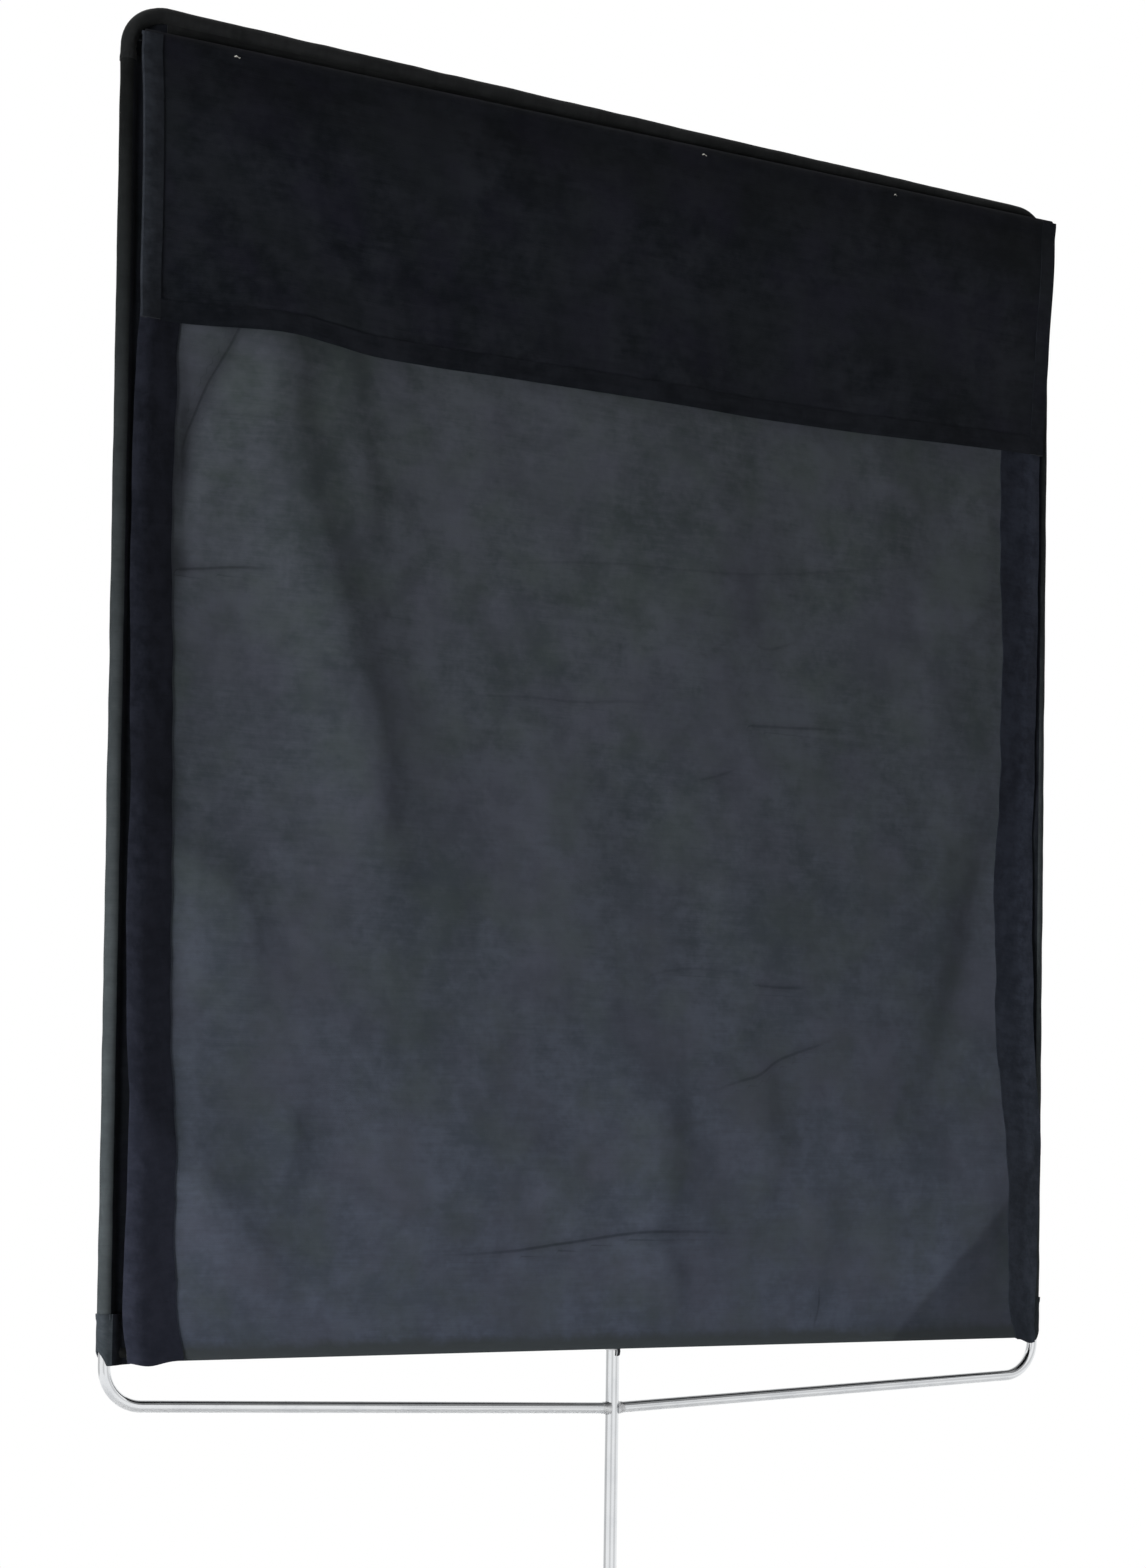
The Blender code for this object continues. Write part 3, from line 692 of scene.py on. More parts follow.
for side, corner in (("left", corners[0]), ("right", corners[3])):
    weld_bead("bar_weld_" + side, "weld_bar_" + side, (corner - middle).normalized())
hidden_steel = {name: bead_metal for name in ("weld_crossbar_left", "weld_crossbar_right", "weld_pin_top")}
hidden_steel["inner_crossbar"] = wire_steel
for name, finish in hidden_steel.items():
    materials = frame["nodes"][name].data.materials
    materials.clear()
    materials.append(finish)
print("new finish on", list(hidden_steel))

# %% [markdown]
# Cloth starts flat. A grid primitive stands for the cut cloth, with its flat size in metres
# kept as the cloth's own coordinates. A formula then lays each point where it hangs, and the
# sheet gets its thickness, with the reverse side as a second finish where the two sides
# differ. In the formulas the factor before uneven or crumple is the height of the waves in
# metres, and the last two numbers in its brackets are the size of the waves and a seed.

# %% Cloth helpers
PANEL_CLOTH = 0.0008


def cloth(name, flat, cell, lay, thickness=PANEL_CLOTH, two_sided=()):
    made = add(
        bpy.ops.mesh.primitive_grid_add,
        name,
        x_subdivisions=max(2, round(flat[0] / cell)),
        y_subdivisions=max(2, round(flat[1] / cell)),
        size=1.0,
    )
    spots = points_of(made.data)
    across = (spots[:, 0] + 0.5) * flat[0]
    upward = (spots[:, 1] + 0.5) * flat[1]
    put_points(made.data, np.stack(lay(across, upward), axis=1))
    layer = made.data.uv_layers[0]
    layer.name = "cloth"
    coords = np.empty(len(layer.data) * 2)
    layer.data.foreach_get("uv", coords)
    coords = coords.reshape(-1, 2) * flat
    layer.data.foreach_set("uv", coords.ravel())
    for finish in two_sided:
        made.data.materials.append(finish)
    modify(made, "SOLIDIFY", thickness=thickness, offset=0.0, material_offset=1 if two_sided else 0)
    return made


def two_tone(made, finish, shade_where):
    """Finish a folded piece, with the black face as painted shade on faces whose middle passes a test."""
    for each in (finish, face_black):
        made.data.materials.append(each)
    with editing(made):
        choose(made, "FACE", shade_where)
        made.active_material_index = 1
        bpy.ops.object.material_slot_assign()


def ease(low, high, value):
    share = np.clip((value - low) / (high - low), 0.0, 1.0)
    return share * share * (3 - 2 * share)


def bell(offset, width):
    return np.exp(-((offset / width) ** 2))


def uneven(x, z, size, seed=0.0):
    """Soft irregular waves about one size long, from -1 to 1."""
    return np.array([noise.noise((a / size, b / size, seed)) for a, b in zip(x, z)])


def crumple(x, z, size, seed=0.0):
    """Two layers of irregular waves, the second half as long."""
    return uneven(x, z, size, seed) + 0.5 * uneven(x, z, size / 2, seed + 9.0)


# %% [markdown]
# A smooth curve through a few chosen points draws a hem's edge or a fold's line. The
# Catmull-Rom formula passes through every point with no corners.

# %% Smooth lines
def smooth_line(points, steps=6):
    ends = [2 * np.array(points[0]) - points[1], 2 * np.array(points[-1]) - points[-2]]
    knots = np.array([ends[0], *points, ends[1]], float)
    line = []
    for a, b, c, d in zip(knots, knots[1:], knots[2:], knots[3:]):
        for step in range(steps):
            t = step / steps
            bend = 2 * b + (c - a) * t + (2 * a - 5 * b + 4 * c - d) * t**2
            line.append((bend + (3 * b - a - 3 * c + d) * t**3) / 2)
    line.append(knots[-2])
    return np.array(line)


def along_line(points, value):
    """The second coordinate of a smooth line at values of the first."""
    line = smooth_line(points)
    return np.interp(value, line[:, 0], line[:, 1])


# %% [markdown]
# The side sleeves are the cover's own cloth, folded round the wire and stitched down on the
# front. Because they are folded back, they show the grey reverse, with painted shade that
# makes it near black at the top and painted light low down. The section is a strip that lies
# on the cover and then nearly a full turn round the wire, and the turn is a little uneven where
# the cloth has shifted along the wire. The strip and the inner side of the turn get the black
# face, a painted shade, because they lie in the flop's shade.

# %% Side sleeves
SLEEVE_MIDDLE = 0.0049
ALLOWANCE = 0.0166
ALLOWANCE_FORWARD = 0.0009
COVER_BACK = 0.0006
SLEEVE_CELL = 0.0030
RUCK = 0.00035

seam_start = math.asin(ALLOWANCE_FORWARD / SLEEVE_MIDDLE)
seam_end = math.tau - math.asin(COVER_BACK / SLEEVE_MIDDLE)
turn_length = (seam_end - seam_start) * SLEEVE_MIDDLE


def round_wire(u, radius):
    """How far inwards from the wire, and how far forward, the folded cloth lies at u."""
    angle = seam_start + (u - ALLOWANCE) / SLEEVE_MIDDLE
    strip = SLEEVE_MIDDLE * math.cos(seam_start) + ALLOWANCE - u
    inward = np.where(u < ALLOWANCE, strip, radius * np.cos(angle))
    forward = np.where(u < ALLOWANCE, ALLOWANCE_FORWARD, radius * np.sin(angle))
    return inward, forward


def side_sleeve(side, sign):
    low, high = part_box("sleeve_" + side)
    length = high.z - low.z

    def lay(u, v):
        z = low.z + v
        radius = SLEEVE_MIDDLE + RUCK * crumple(u * 4, z, 0.030, 3.0 + sign)
        inward, forward = round_wire(u, radius)
        return sign * side_x - sign * inward, -forward, z

    made = cloth(side + "_sleeve", (ALLOWANCE + turn_length, length), SLEEVE_CELL, lay)
    # the black face on the strip and the inner side of the turn is painted shade
    shade_inside = side_x - SLEEVE_MIDDLE * 0.3
    two_tone(made, cloths["sleeve_grey"], lambda at: abs(at.x) < shade_inside and at.y < 0)
    hand_over(made, "frame", "reverse_grey", ["sleeve_" + side])


for side, sign in SIDES:
    side_sleeve(side, sign)

# %% [markdown]
# The top sleeve goes round both upper bends. The wire's centre line is followed by its
# length: up, round, across, round and down. On the inside of a bend the cloth has to gather,
# so the ruck grows there. Both ends lap over the side sleeves.

# %% Top sleeve
TOP_CELL = 0.0028
GATHER = 0.0006
GATHER_PITCH = 0.0052
LAP = 0.0040
LAP_PROUD = 0.00045

sleeve_top_low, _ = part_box("sleeve_top")
end_z = sleeve_top_low.z - LAP
rise = top_z - WIRE_BEND - end_z
quarter = WIRE_BEND * math.pi / 2
across = 2 * (side_x - WIRE_BEND)
lengths = np.cumsum([rise, quarter, across, quarter, rise])


def over_the_top(v):
    """Place and outward direction, in x and z, at a distance along the wire's upper part."""
    first = np.clip((v - lengths[0]) / quarter, 0, 1) * math.pi / 2
    second = np.clip((v - lengths[2]) / quarter, 0, 1) * math.pi / 2
    angle = math.pi - first - second
    straight = np.clip(v - lengths[1], 0, across)
    down = np.clip(v - lengths[3], 0, None)
    up = np.clip(v, 0, rise)
    centre_x = -side_x + WIRE_BEND + straight
    x = centre_x + WIRE_BEND * np.cos(angle)
    z = top_z - WIRE_BEND + WIRE_BEND * np.sin(angle) - (rise - up) - down
    return x, z, np.cos(angle), np.sin(angle)


def lay_top_sleeve(u, v):
    x, z, out_x, out_z = over_the_top(v)
    bent = sum(bell(v - (bend_starts + quarter / 2), quarter) for bend_starts in (lengths[0], lengths[2]))
    angle = seam_start + u / SLEEVE_MIDDLE
    inside = 0.5 + 0.5 * np.cos(angle)
    ruck = RUCK * crumple(u * 4, v, 0.026, 6.0)
    gather = GATHER * bent * inside * np.sin(v * math.tau / GATHER_PITCH)
    lapped = LAP_PROUD * (1 - ease(LAP, LAP * 1.5, np.minimum(v, lengths[4] - v)))
    radius = SLEEVE_MIDDLE + ruck + gather + lapped
    inward = radius * np.cos(angle)
    return x - out_x * inward, -radius * np.sin(angle), z - out_z * inward


top_sleeve = cloth("top_sleeve", (turn_length, lengths[4]), TOP_CELL, lay_top_sleeve)
# the top sleeve gets the sleeves' grey in painted shade
hand_over(top_sleeve, "frame", "reverse_grey", ["sleeve_top"], cloths["shaded_sleeve_grey"])

# %% [markdown]
# The top sleeve's seam allowance hangs down in front of the cover. It is a plain strip, and
# the flap's seam is sewn through it.

# %% Top seam allowance
TOP_ALLOWANCE = 0.019
ALLOWANCE_CELL = 0.0032


def lay_top_allowance(u, v):
    x = -across / 2 + u
    wave = 0.0003 * crumple(x, v * 3, 0.050, 2.0)
    z = top_z - SLEEVE_MIDDLE * math.cos(seam_start) - TOP_ALLOWANCE + v
    return x, -ALLOWANCE_FORWARD - wave, z


allowance = cloth("top_seam_allowance", (across, TOP_ALLOWANCE), ALLOWANCE_CELL, lay_top_allowance)
# the allowance gets the sleeves' grey in painted shade
hand_over(allowance, "frame", "reverse_grey", [], cloths["shaded_sleeve_grey"])

# %% [markdown]
# The bottom sleeve holds the hidden crossbar. It is the same fold turned upside down, it
# reaches to the side wires and opens a little at its ends, over the weld beads there, and a
# round notch lets the pin in from below. The notch is cut with a cylinder.

# %% Bottom sleeve
BOTTOM_MIDDLE = 0.0041
BOTTOM_ALLOWANCE = 0.0165
BOTTOM_REACH = 0.0026
BOTTOM_FLARE = 0.0012
BOTTOM_CELL = 0.0028
FLARE_ENDS = (0.003, 0.010)
NOTCH_RADIUS = 0.0071

bottom_start = math.asin(ALLOWANCE_FORWARD / BOTTOM_MIDDLE)
bottom_turn = (math.tau - bottom_start - math.asin(COVER_BACK / BOTTOM_MIDDLE)) * BOTTOM_MIDDLE
sleeve_low, sleeve_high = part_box("sleeve_bottom")


def lay_bottom_sleeve(u, v):
    x = sleeve_low.x - BOTTOM_REACH + v
    angle = bottom_start + (u - BOTTOM_ALLOWANCE) / BOTTOM_MIDDLE
    near_end = 1 - ease(*FLARE_ENDS, np.minimum(v, bottom_flat[1] - v))
    radius = BOTTOM_MIDDLE + 0.6 * RUCK * crumple(x, u * 4, 0.030, 12.0)
    radius = radius + BOTTOM_FLARE * near_end * (1 - np.sin(angle)) / 2
    strip = BOTTOM_MIDDLE * math.cos(bottom_start) + BOTTOM_ALLOWANCE - u
    upward = np.where(u < BOTTOM_ALLOWANCE, strip, radius * np.cos(angle))
    forward = np.where(u < BOTTOM_ALLOWANCE, ALLOWANCE_FORWARD, radius * np.sin(angle))
    return x, -forward, crossbar_z + upward


bottom_flat = (BOTTOM_ALLOWANCE + bottom_turn, sleeve_high.x - sleeve_low.x + 2 * BOTTOM_REACH)
bottom_sleeve = cloth("bottom_sleeve", bottom_flat, BOTTOM_CELL, lay_bottom_sleeve)
notch = add(
    bpy.ops.mesh.primitive_cylinder_add,
    "notch_cutter",
    vertices=32,
    radius=NOTCH_RADIUS,
    depth=crossbar_z,
    location=(0, 0, crossbar_z / 2),
)
modify(bottom_sleeve, "BOOLEAN", operation="DIFFERENCE", object=notch)
bpy.data.objects.remove(notch)
# the bottom sleeve gets the sleeves' grey in painted shade
hand_over(bottom_sleeve, "frame", "reverse_grey", ["sleeve_bottom"], cloths["shaded_sleeve_grey"])

# %% [markdown]
# A cuff wraps the lower end of each side sleeve, where the cloth rubs on the bend. It laps
# over the sleeve, its lower end is cut on the slant, and a wing of it reaches inwards behind
# the flop's corner, which closes the gap there. The wing and the inner side of the turn get
# the black face too, a painted shade, because they lie in the flop's shade.

# %% Cuffs
CUFF_CELL = 0.0016
CUFF_MIDDLE = 0.0052
CUFF_TURNS = 0.97
CUFF_LAP = 0.0022
CUFF_PROUD = 0.0006
CUFF_RUCK = 0.00025
CUFF_SLANT = 0.0100
WING = 0.0200
WING_IN = 0.0165
WING_SUNK = 0.0026
WING_SINKS = (0.30, 0.66)
WING_RAISED = 0.0008

cuff_turn = math.tau * CUFF_TURNS * CUFF_MIDDLE
bend_from = corner_z + WIRE_BEND * math.tan((corners[1] - corners[0]).angle(corners[0] - middle) / 2)


def cuff(side, sign):
    low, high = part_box("cuff_" + side)
    length = high.z - low.z + CUFF_LAP

    def lay(u, v):
        z = low.z + v
        angle = math.pi / 2 + (u - WING) / CUFF_MIDDLE
        proud = CUFF_PROUD * ease(length - 2.5 * CUFF_LAP, length - CUFF_LAP, v)
        radius = CUFF_MIDDLE + proud + CUFF_RUCK * crumple(u * 3, z, 0.018, 5.0 + sign)
        share = np.clip((WING - u) / WING, 0, 1)
        below = np.clip(bend_from - z, 0, WIRE_BEND)
        turned = WIRE_BEND - np.sqrt(WIRE_BEND**2 - below**2)
        upright = np.sqrt(1 - (below / WIRE_BEND) ** 2)
        inward = np.where(u < WING, WING_IN * share, radius * np.cos(angle) / upright)
        inward = inward + turned * (1 - share)
        sunk = CUFF_MIDDLE + (WING_SUNK - CUFF_MIDDLE) * ease(*WING_SINKS, share)
        forward = np.where(u < WING, sunk, radius * np.sin(angle))
        outward = np.clip((turned - inward) / CUFF_MIDDLE, 0, 1)
        lower = 1 - v / length
        lifted = CUFF_SLANT * outward * lower**2 + WING_RAISED * share * lower
        return sign * side_x - sign * inward, -forward, z + lifted

    made = cloth(side + "_cuff", (WING + cuff_turn, length), CUFF_CELL, lay)
    # the black face on the wing and the inner side of the turn is painted shade
    shade_inside = side_x - CUFF_MIDDLE * 0.6
    two_tone(made, cloths["cuff_grey"], lambda at: abs(at.x) < shade_inside and at.y < 0)
    hand_over(made, "frame", "hem_black", ["cuff_" + side])


for side, sign in SIDES:
    cuff(side, sign)

# %% [markdown]
# The cover is the rear sheet. Its black face looks forward and its grey reverse looks back.
# It is sewn to all four sleeves, so it lies flat along its edges and hangs a few millimetres
# back in the middle, with pulls that run in from the corners.

# %% Cover
COVER_CELL = 0.0052
COVER_SAG = 0.0040
SLACK_WAVE = 0.35
SLACK_WAVE_X, SLACK_WAVE_Z = 0.218, 1.436
CORNER_PULL = 0.0016
CORNER_FOLDS = 9.0
PUCKER_PITCH = 0.0135
CORNER_ROUND = WIRE_BEND - SLEEVE_MIDDLE

cover_half = side_x - SLEEVE_MIDDLE
cover_low = crossbar_z + BOTTOM_MIDDLE
cover_high = top_z - SLEEVE_MIDDLE
cover_flat = (2 * cover_half, cover_high - cover_low)


def corner_pulls(x, z):
    """Tension folds that fan out of the four corners and fade towards the middle."""
    total = np.zeros_like(x)
    for at_x in (-cover_half, cover_half):
        for at_z in (cover_low, cover_high):
            dx, dz = np.abs(x - at_x), np.abs(z - at_z)
            away = np.hypot(dx, dz)
            spread = np.arctan2(dz, dx)
            fan = np.sin(CORNER_FOLDS * spread + 3.0 * at_x + 2.0 * at_z)
            total += fan * ease(0.0, 0.09, away) * (1 - ease(0.10, 0.34, away))
    return total


def lay_cover(u, v):
    x, z = u - cover_half, cover_low + v
    from_edge = np.minimum(cover_half - np.abs(x), np.minimum(v, cover_flat[1] - v))
    past_x = np.clip(np.abs(x) - (cover_half - CORNER_ROUND), 0, None)
    past_z = np.clip(z - (cover_high - CORNER_ROUND), 0, None)
    rounded = np.maximum(past_x, past_z) / np.maximum(np.hypot(past_x, past_z), 1e-9)
    x = np.sign(x) * (np.abs(x) - past_x * (1 - rounded) * (past_z > 0))
    z = z - past_z * (1 - rounded) * (past_x > 0)
    free = ease(0.003, 0.10, from_edge)
    slack = 1 + SLACK_WAVE * np.cos(math.tau * (x / SLACK_WAVE_X + z / SLACK_WAVE_Z))
    sag = COVER_SAG * free * slack + CORNER_PULL * corner_pulls(x, z) * ease(0.003, 0.05, from_edge)
    fine = 0.0007 * crumple(x, z, 0.085, 21.0) * ease(0.003, 0.04, from_edge)
    pucker = 0.0003 * bell(from_edge - 0.007, 0.007) * np.sin((x + z) * math.tau / PUCKER_PITCH)
    return x, COVER_BACK + sag + fine + pucker, z


cover = cloth("cover_cloth", cover_flat, COVER_CELL, lay_cover, two_sided=(face_black, reverse_grey))
hand_over(cover, "frame", "napped_black", ["cover_panel"])

# %% [markdown]
# The flop's folds are lines drawn on its cloth, in metres across from the middle and up from
# the hinge. Across its line a fold rises slowly, crests and falls away at once, and the fall
# dies out over the fold's width. A fold with a negative rise is the mirror of that, a furrow
# whose far side climbs slowly.

# %% Folds of the flop
# A fold and a crease share this line near the upper left corner.
UPPER_LEFT = [
    (-0.292, 0.705), (-0.304, 0.668), (-0.313, 0.651), (-0.321, 0.634), (-0.330, 0.611), (-0.338, 0.589),
    (-0.346, 0.560),
]
# Each fold: its rise, its width, 1 if it starts at full strength, and its line from above.
FOLDS = [
    (0.0105, 0.021, 1, (-0.262, 0.720), (-0.258, 0.660), (-0.262, 0.630), (-0.256, 0.600), (-0.246, 0.570),
     (-0.236, 0.540), (-0.224, 0.505), (-0.212, 0.470), (-0.200, 0.440), (-0.193, 0.410), (-0.190, 0.380),
     (-0.186, 0.350), (-0.183, 0.310), (-0.176, 0.270), (-0.170, 0.235)),
    (0.0030, 0.012, 1, (-0.222, 0.700), (-0.214, 0.640), (-0.207, 0.600), (-0.200, 0.560), (-0.190, 0.520)),
    (-0.0062, 0.0098, 1, *UPPER_LEFT, (-0.354, 0.520)),
    (-0.0042, 0.0080, 1, (-0.400, 0.505), (-0.342, 0.5125), (-0.322, 0.515), (-0.300, 0.518),
     (-0.262, 0.520)),
    (0.0064, 0.017, 1, (-0.400, 0.420), (-0.338, 0.342), (-0.320, 0.322), (-0.300, 0.306), (-0.287, 0.285),
     (-0.280, 0.250), (-0.278, 0.215)),
    (0.0050, 0.016, 0, (-0.341, 0.500), (-0.337, 0.450), (-0.335, 0.410), (-0.336, 0.360)),
    (0.0050, 0.0130, 1, (-0.400, 0.200), (-0.334, 0.134), (-0.315, 0.116), (-0.300, 0.098), (-0.280, 0.079),
     (-0.267, 0.061), (-0.257, 0.042), (-0.250, 0.010)),
    (0.0024, 0.008, 0, (-0.260, 0.175), (-0.254, 0.150), (-0.250, 0.115)),
    (0.0046, 0.016, 1, (0.410, 0.200), (0.342, 0.113), (0.322, 0.091), (0.309, 0.075), (0.292, 0.054),
     (0.276, 0.035), (0.256, 0.020), (0.236, 0.004), (0.200, -0.025), (0.150, -0.070)),
    (-0.0110, 0.023, 0, (0.332, 0.450), (0.317, 0.360), (0.309, 0.322), (0.303, 0.290), (0.292, 0.255),
     (0.275, 0.215), (0.258, 0.180), (0.235, 0.140)),
    (0.0040, 0.021, 0, (0.336, 0.600), (0.305, 0.535), (0.283, 0.480), (0.270, 0.410)),
    (0.0050, 0.018, 0, (-0.016, 0.245), (0.002, 0.205), (0.022, 0.180), (0.034, 0.150), (0.036, 0.110),
     (0.038, 0.066), (0.040, 0.020), (0.042, -0.060)),
    (0.0030, 0.014, 0, (0.112, 0.235), (0.116, 0.190), (0.121, 0.158), (0.128, 0.132), (0.140, 0.095)),
    (0.0022, 0.012, 0, (0.170, 0.125), (0.175, 0.090), (0.182, 0.050)),
    (0.0020, 0.026, 0, (-0.060, 0.420), (-0.030, 0.350), (-0.020, 0.270), (-0.030, 0.210)),
    (0.0016, 0.030, 0, (0.110, 0.500), (0.150, 0.430), (0.160, 0.350), (0.140, 0.280)),
    (0.0090, 0.062, 1, (0.070, 0.720), (0.076, 0.600), (0.082, 0.500), (0.096, 0.400)),
    (0.0030, 0.026, 1, (0.215, 0.720), (0.235, 0.620), (0.225, 0.540), (0.240, 0.450)),
]
print("folds", len(FOLDS))

# %% [markdown]
# A crease is a slight fold with a pressed line along its crest, and the cloth's finish draws
# that line as a groove in its bumps and as painted shade in its colour.

# %% Creases of the flop
# Each crease: how strongly it is pressed, 1 if it starts at full strength, and its line.
CREASES = [
    (1.0, 0, (-0.165, 0.0640), (-0.130, 0.0650), (-0.094, 0.0670), (-0.076, 0.0690), (-0.052, 0.0722),
     (-0.024, 0.0758), (0.008, 0.0795), (0.030, 0.0805), (0.071, 0.0800), (0.120, 0.0775)),
    (0.8, 0, (0.062, 0.179), (0.0915, 0.1885), (0.110, 0.194), (0.128, 0.2045), (0.1525, 0.2135),
     (0.190, 0.226)),
    (0.7, 1, (0.112, 0.2590), (0.130, 0.2583), (0.155, 0.2592)),
    (0.35, 0, (0.004, 0.255), (0.031, 0.266), (0.060, 0.269), (0.090, 0.268), (0.110, 0.262)),
    (0.7, 1, (0.106, 0.4490), (0.140, 0.4505), (0.190, 0.4535)),
    (0.45, 0, (-0.140, 0.4480), (-0.086, 0.4525), (-0.041, 0.4530), (0.003, 0.4570), (0.040, 0.4595)),
    (0.5, 0, (0.052, 0.4040), (0.075, 0.4095), (0.098, 0.4190)),
    (0.35, 0, (-0.190, 0.531), (-0.096, 0.544), (-0.019, 0.553), (0.084, 0.557), (0.205, 0.575),
     (0.333, 0.598)),
    (0.9, 1, (-0.338, 0.5125), (-0.322, 0.515), (-0.300, 0.518), (-0.270, 0.520)),
    (0.4, 0, (0.100, 0.5130), (0.118, 0.5060), (0.150, 0.5170)),
    (0.35, 0, (-0.330, 0.6160), (-0.290, 0.6180), (-0.262, 0.6150)),
    (0.5, 1, (0.168, 0.034), (0.165, 0.020), (0.160, 0.004)),
    (0.8, 1, *UPPER_LEFT),
]
CREASE_RISE = 0.0009
CREASE_WIDTH = 0.0050
CREASE_ENDS = (0.004, 0.007)
NO_CREASE = 0.010
print("creases", len(CREASES))

# %% [markdown]
# What a fold does to a point depends on how far beside its line the point lies. Every fold
# fades out towards its end, and those that don't start at full strength also grow slowly.

# %% From lines to folds
FLANKS = 2.2
CREST_ROUND = 0.16


def beside_line(x, h, fold):
    """Signed distance from a fold's line, and the fold's strength there."""
    _, _, begins_full, *points = fold
    line = smooth_line([np.array(point) for point in points])
    runs = np.diff(line, axis=0)
    lengths = np.hypot(runs[:, 0], runs[:, 1])
    before = np.concatenate([[0.0], np.cumsum(lengths)[:-1]])
    nearest = np.full(x.shape, np.inf)
    side = np.zeros(x.shape)
    along = np.zeros(x.shape)
    for start, run, length, done in zip(line, runs, lengths, before):
        dx, dh = x - start[0], h - start[1]
        share = np.clip((dx * run[0] + dh * run[1]) / length**2, 0, 1)
        away = np.hypot(dx - share * run[0], dh - share * run[1])
        closer = away < nearest
        nearest = np.where(closer, away, nearest)
        cross = (run[0] * dh - run[1] * dx) / length
        side = np.where(closer, np.sign(cross), side)
        along = np.where(closer, done + share * length, along)
    whole = lengths.sum()
    strength = 1 - ease(0.60 * whole, whole, along)
    if not begins_full:
        strength = strength * ease(0.0, 0.35 * whole, along)
    return side * nearest, strength


def fold_height(x, h, fold):
    """How far forward one fold moves the cloth."""
    rise, narrow = fold[:2]
    distance, strength = beside_line(x, h, fold)
    offset = np.sign(rise) * distance / narrow
    past = (offset + np.sqrt(offset**2 + CREST_ROUND)) / 2
    flank = np.exp(-((np.minimum(offset, 0) / FLANKS) ** 2))
    return rise * strength * np.exp(-past) * flank


def crease_fold(crease):
    return (CREASE_RISE * crease[0], CREASE_WIDTH, *crease[1:])


def pressed_lines(x, h):
    """The signed distance from the strongest crease nearby, and how strongly it is pressed."""
    x = x + 0.0025 * crumple(x, h, 0.050, 60.0)
    away = np.full(x.shape, NO_CREASE)
    total = np.zeros(x.shape)
    for crease in CREASES:
        distance, strength = beside_line(x, h, crease_fold(crease))
        here = crease[0] * strength * (1 - ease(*CREASE_ENDS, np.abs(distance)))
        away = np.where(here > total, np.clip(distance, -NO_CREASE, NO_CREASE), away)
        total = np.maximum(total, here)
    return away, total


# %% [markdown]
# The flop hangs from its free end behind the flap down to its hinge, and it is not flat. It
# leans back, is drawn in at the middle and bellies out low down. The folds and a soft
# crumpling come on top of that, and all of it is held flat at the hinge and behind the flap.

# %% How the flop hangs
_, flop_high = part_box("flop_panel")
flop_half = flop_high.x
flop_height = flop_high.z - flop_hinge.z
LEAN_BACK = 0.0045
LEAN_HEIGHTS = (0.10, 0.42)
HOLLOW = 0.0025
HOLLOW_FROM = (0.25, 0.42)
HOLLOW_TO = (0.48, 0.66)
BELLY = 0.0045
BELLY_HEIGHT = 0.140
BELLY_SPREAD = 0.070
SHARP = 0.010
SHARP_FROM_EDGE = (0.026, 0.036)
SEAM_PULL = 0.0010
SEAM_PULL_IN = 0.034
SEAM_PULL_SPREAD = 0.012
STRAY = 0.0030
STRAY_SIZE = 0.055
LOOSE_FROM = (0.008, 0.050)
LOOSE_TO = (0.645, 0.70)


def on_flop(x, forward, h):
    """The place of a point that lies forward of the hinge and at a height above it."""
    return x, flop_hinge.y - forward, flop_hinge.z + h


def flop_forward(x, h):
    """How far forward of the hinge line the middle of the flop's cloth lies."""
    lean = LEAN_BACK * ease(*LEAN_HEIGHTS, h)
    hollow = HOLLOW * ease(*HOLLOW_FROM, h) * (1 - ease(*HOLLOW_TO, h))
    belly = BELLY * bell(h - BELLY_HEIGHT, BELLY_SPREAD)
    loose = ease(*LOOSE_FROM, h) * (1 - ease(*LOOSE_TO, h))
    stray_x = x + STRAY * crumple(x, h, STRAY_SIZE, 60.0)
    stray_h = h + STRAY * crumple(x, h, STRAY_SIZE, 80.0)
    folds = sum(fold_height(stray_x, stray_h, fold) for fold in FOLDS if fold[1] > SHARP)
    sharp = [fold for fold in FOLDS if fold[1] <= SHARP] + [crease_fold(crease) for crease in CREASES]
    sharp = sum(fold_height(stray_x, stray_h, fold) for fold in sharp)
    folds = folds + sharp * ease(*SHARP_FROM_EDGE, flop_half - np.abs(x))
    soft = 0.0016 * crumple(x, h, 0.075, 1.5) + 0.00070 * crumple(x, h * 1.2, 0.030, 4.5)
    soft = soft + 0.00018 * crumple(x, h * 2.0, 0.013, 7.5)
    beside_hems = bell(flop_half - SEAM_PULL_IN - np.abs(x), SEAM_PULL_SPREAD)
    return -lean - hollow + (belly + folds + soft - SEAM_PULL * beside_hems) * loose


print("flop", round(2 * flop_half, 4), "wide and", round(flop_height, 4), "high,", len(FOLDS), "folds")

# %% [markdown]
# The flop's outline is not quite a rectangle. Its lower corners are drawn in a little and
# droop, because nothing holds them there, and the hems down its sides are wider in some
# places than in others. A few measured widths and the formulas for the corners give all
# that the next pieces ask for.

# %% Outline of the flop
HEM_LIFT = 0.0010
HEM_CELL = 0.0030
HEM_RETURN = 0.0035
HEM_CURL = 0.0016
CURL_BAND = 0.011
CORNER_ENDS = (-0.006, 0.045)
LEFT_HEM = [
    (-0.010, 0.0375), (0.022, 0.0350), (0.060, 0.0324), (0.095, 0.0308), (0.180, 0.0290), (0.380, 0.0271),
    (0.580, 0.0262), (0.660, 0.0262), (0.830, 0.0260),
]
RIGHT_HEM = [
    (-0.010, 0.0250), (0.030, 0.0262), (0.153, 0.0320), (0.490, 0.0330), (0.670, 0.0375), (0.830, 0.0370),
]
LEFT_OUT = [
    (-0.010, 0.0), (0.095, 0.0), (0.180, 0.0008), (0.380, 0.0010), (0.580, 0.0018), (0.650, 0.0006),
    (0.690, -0.0016), (0.830, -0.0020),
]
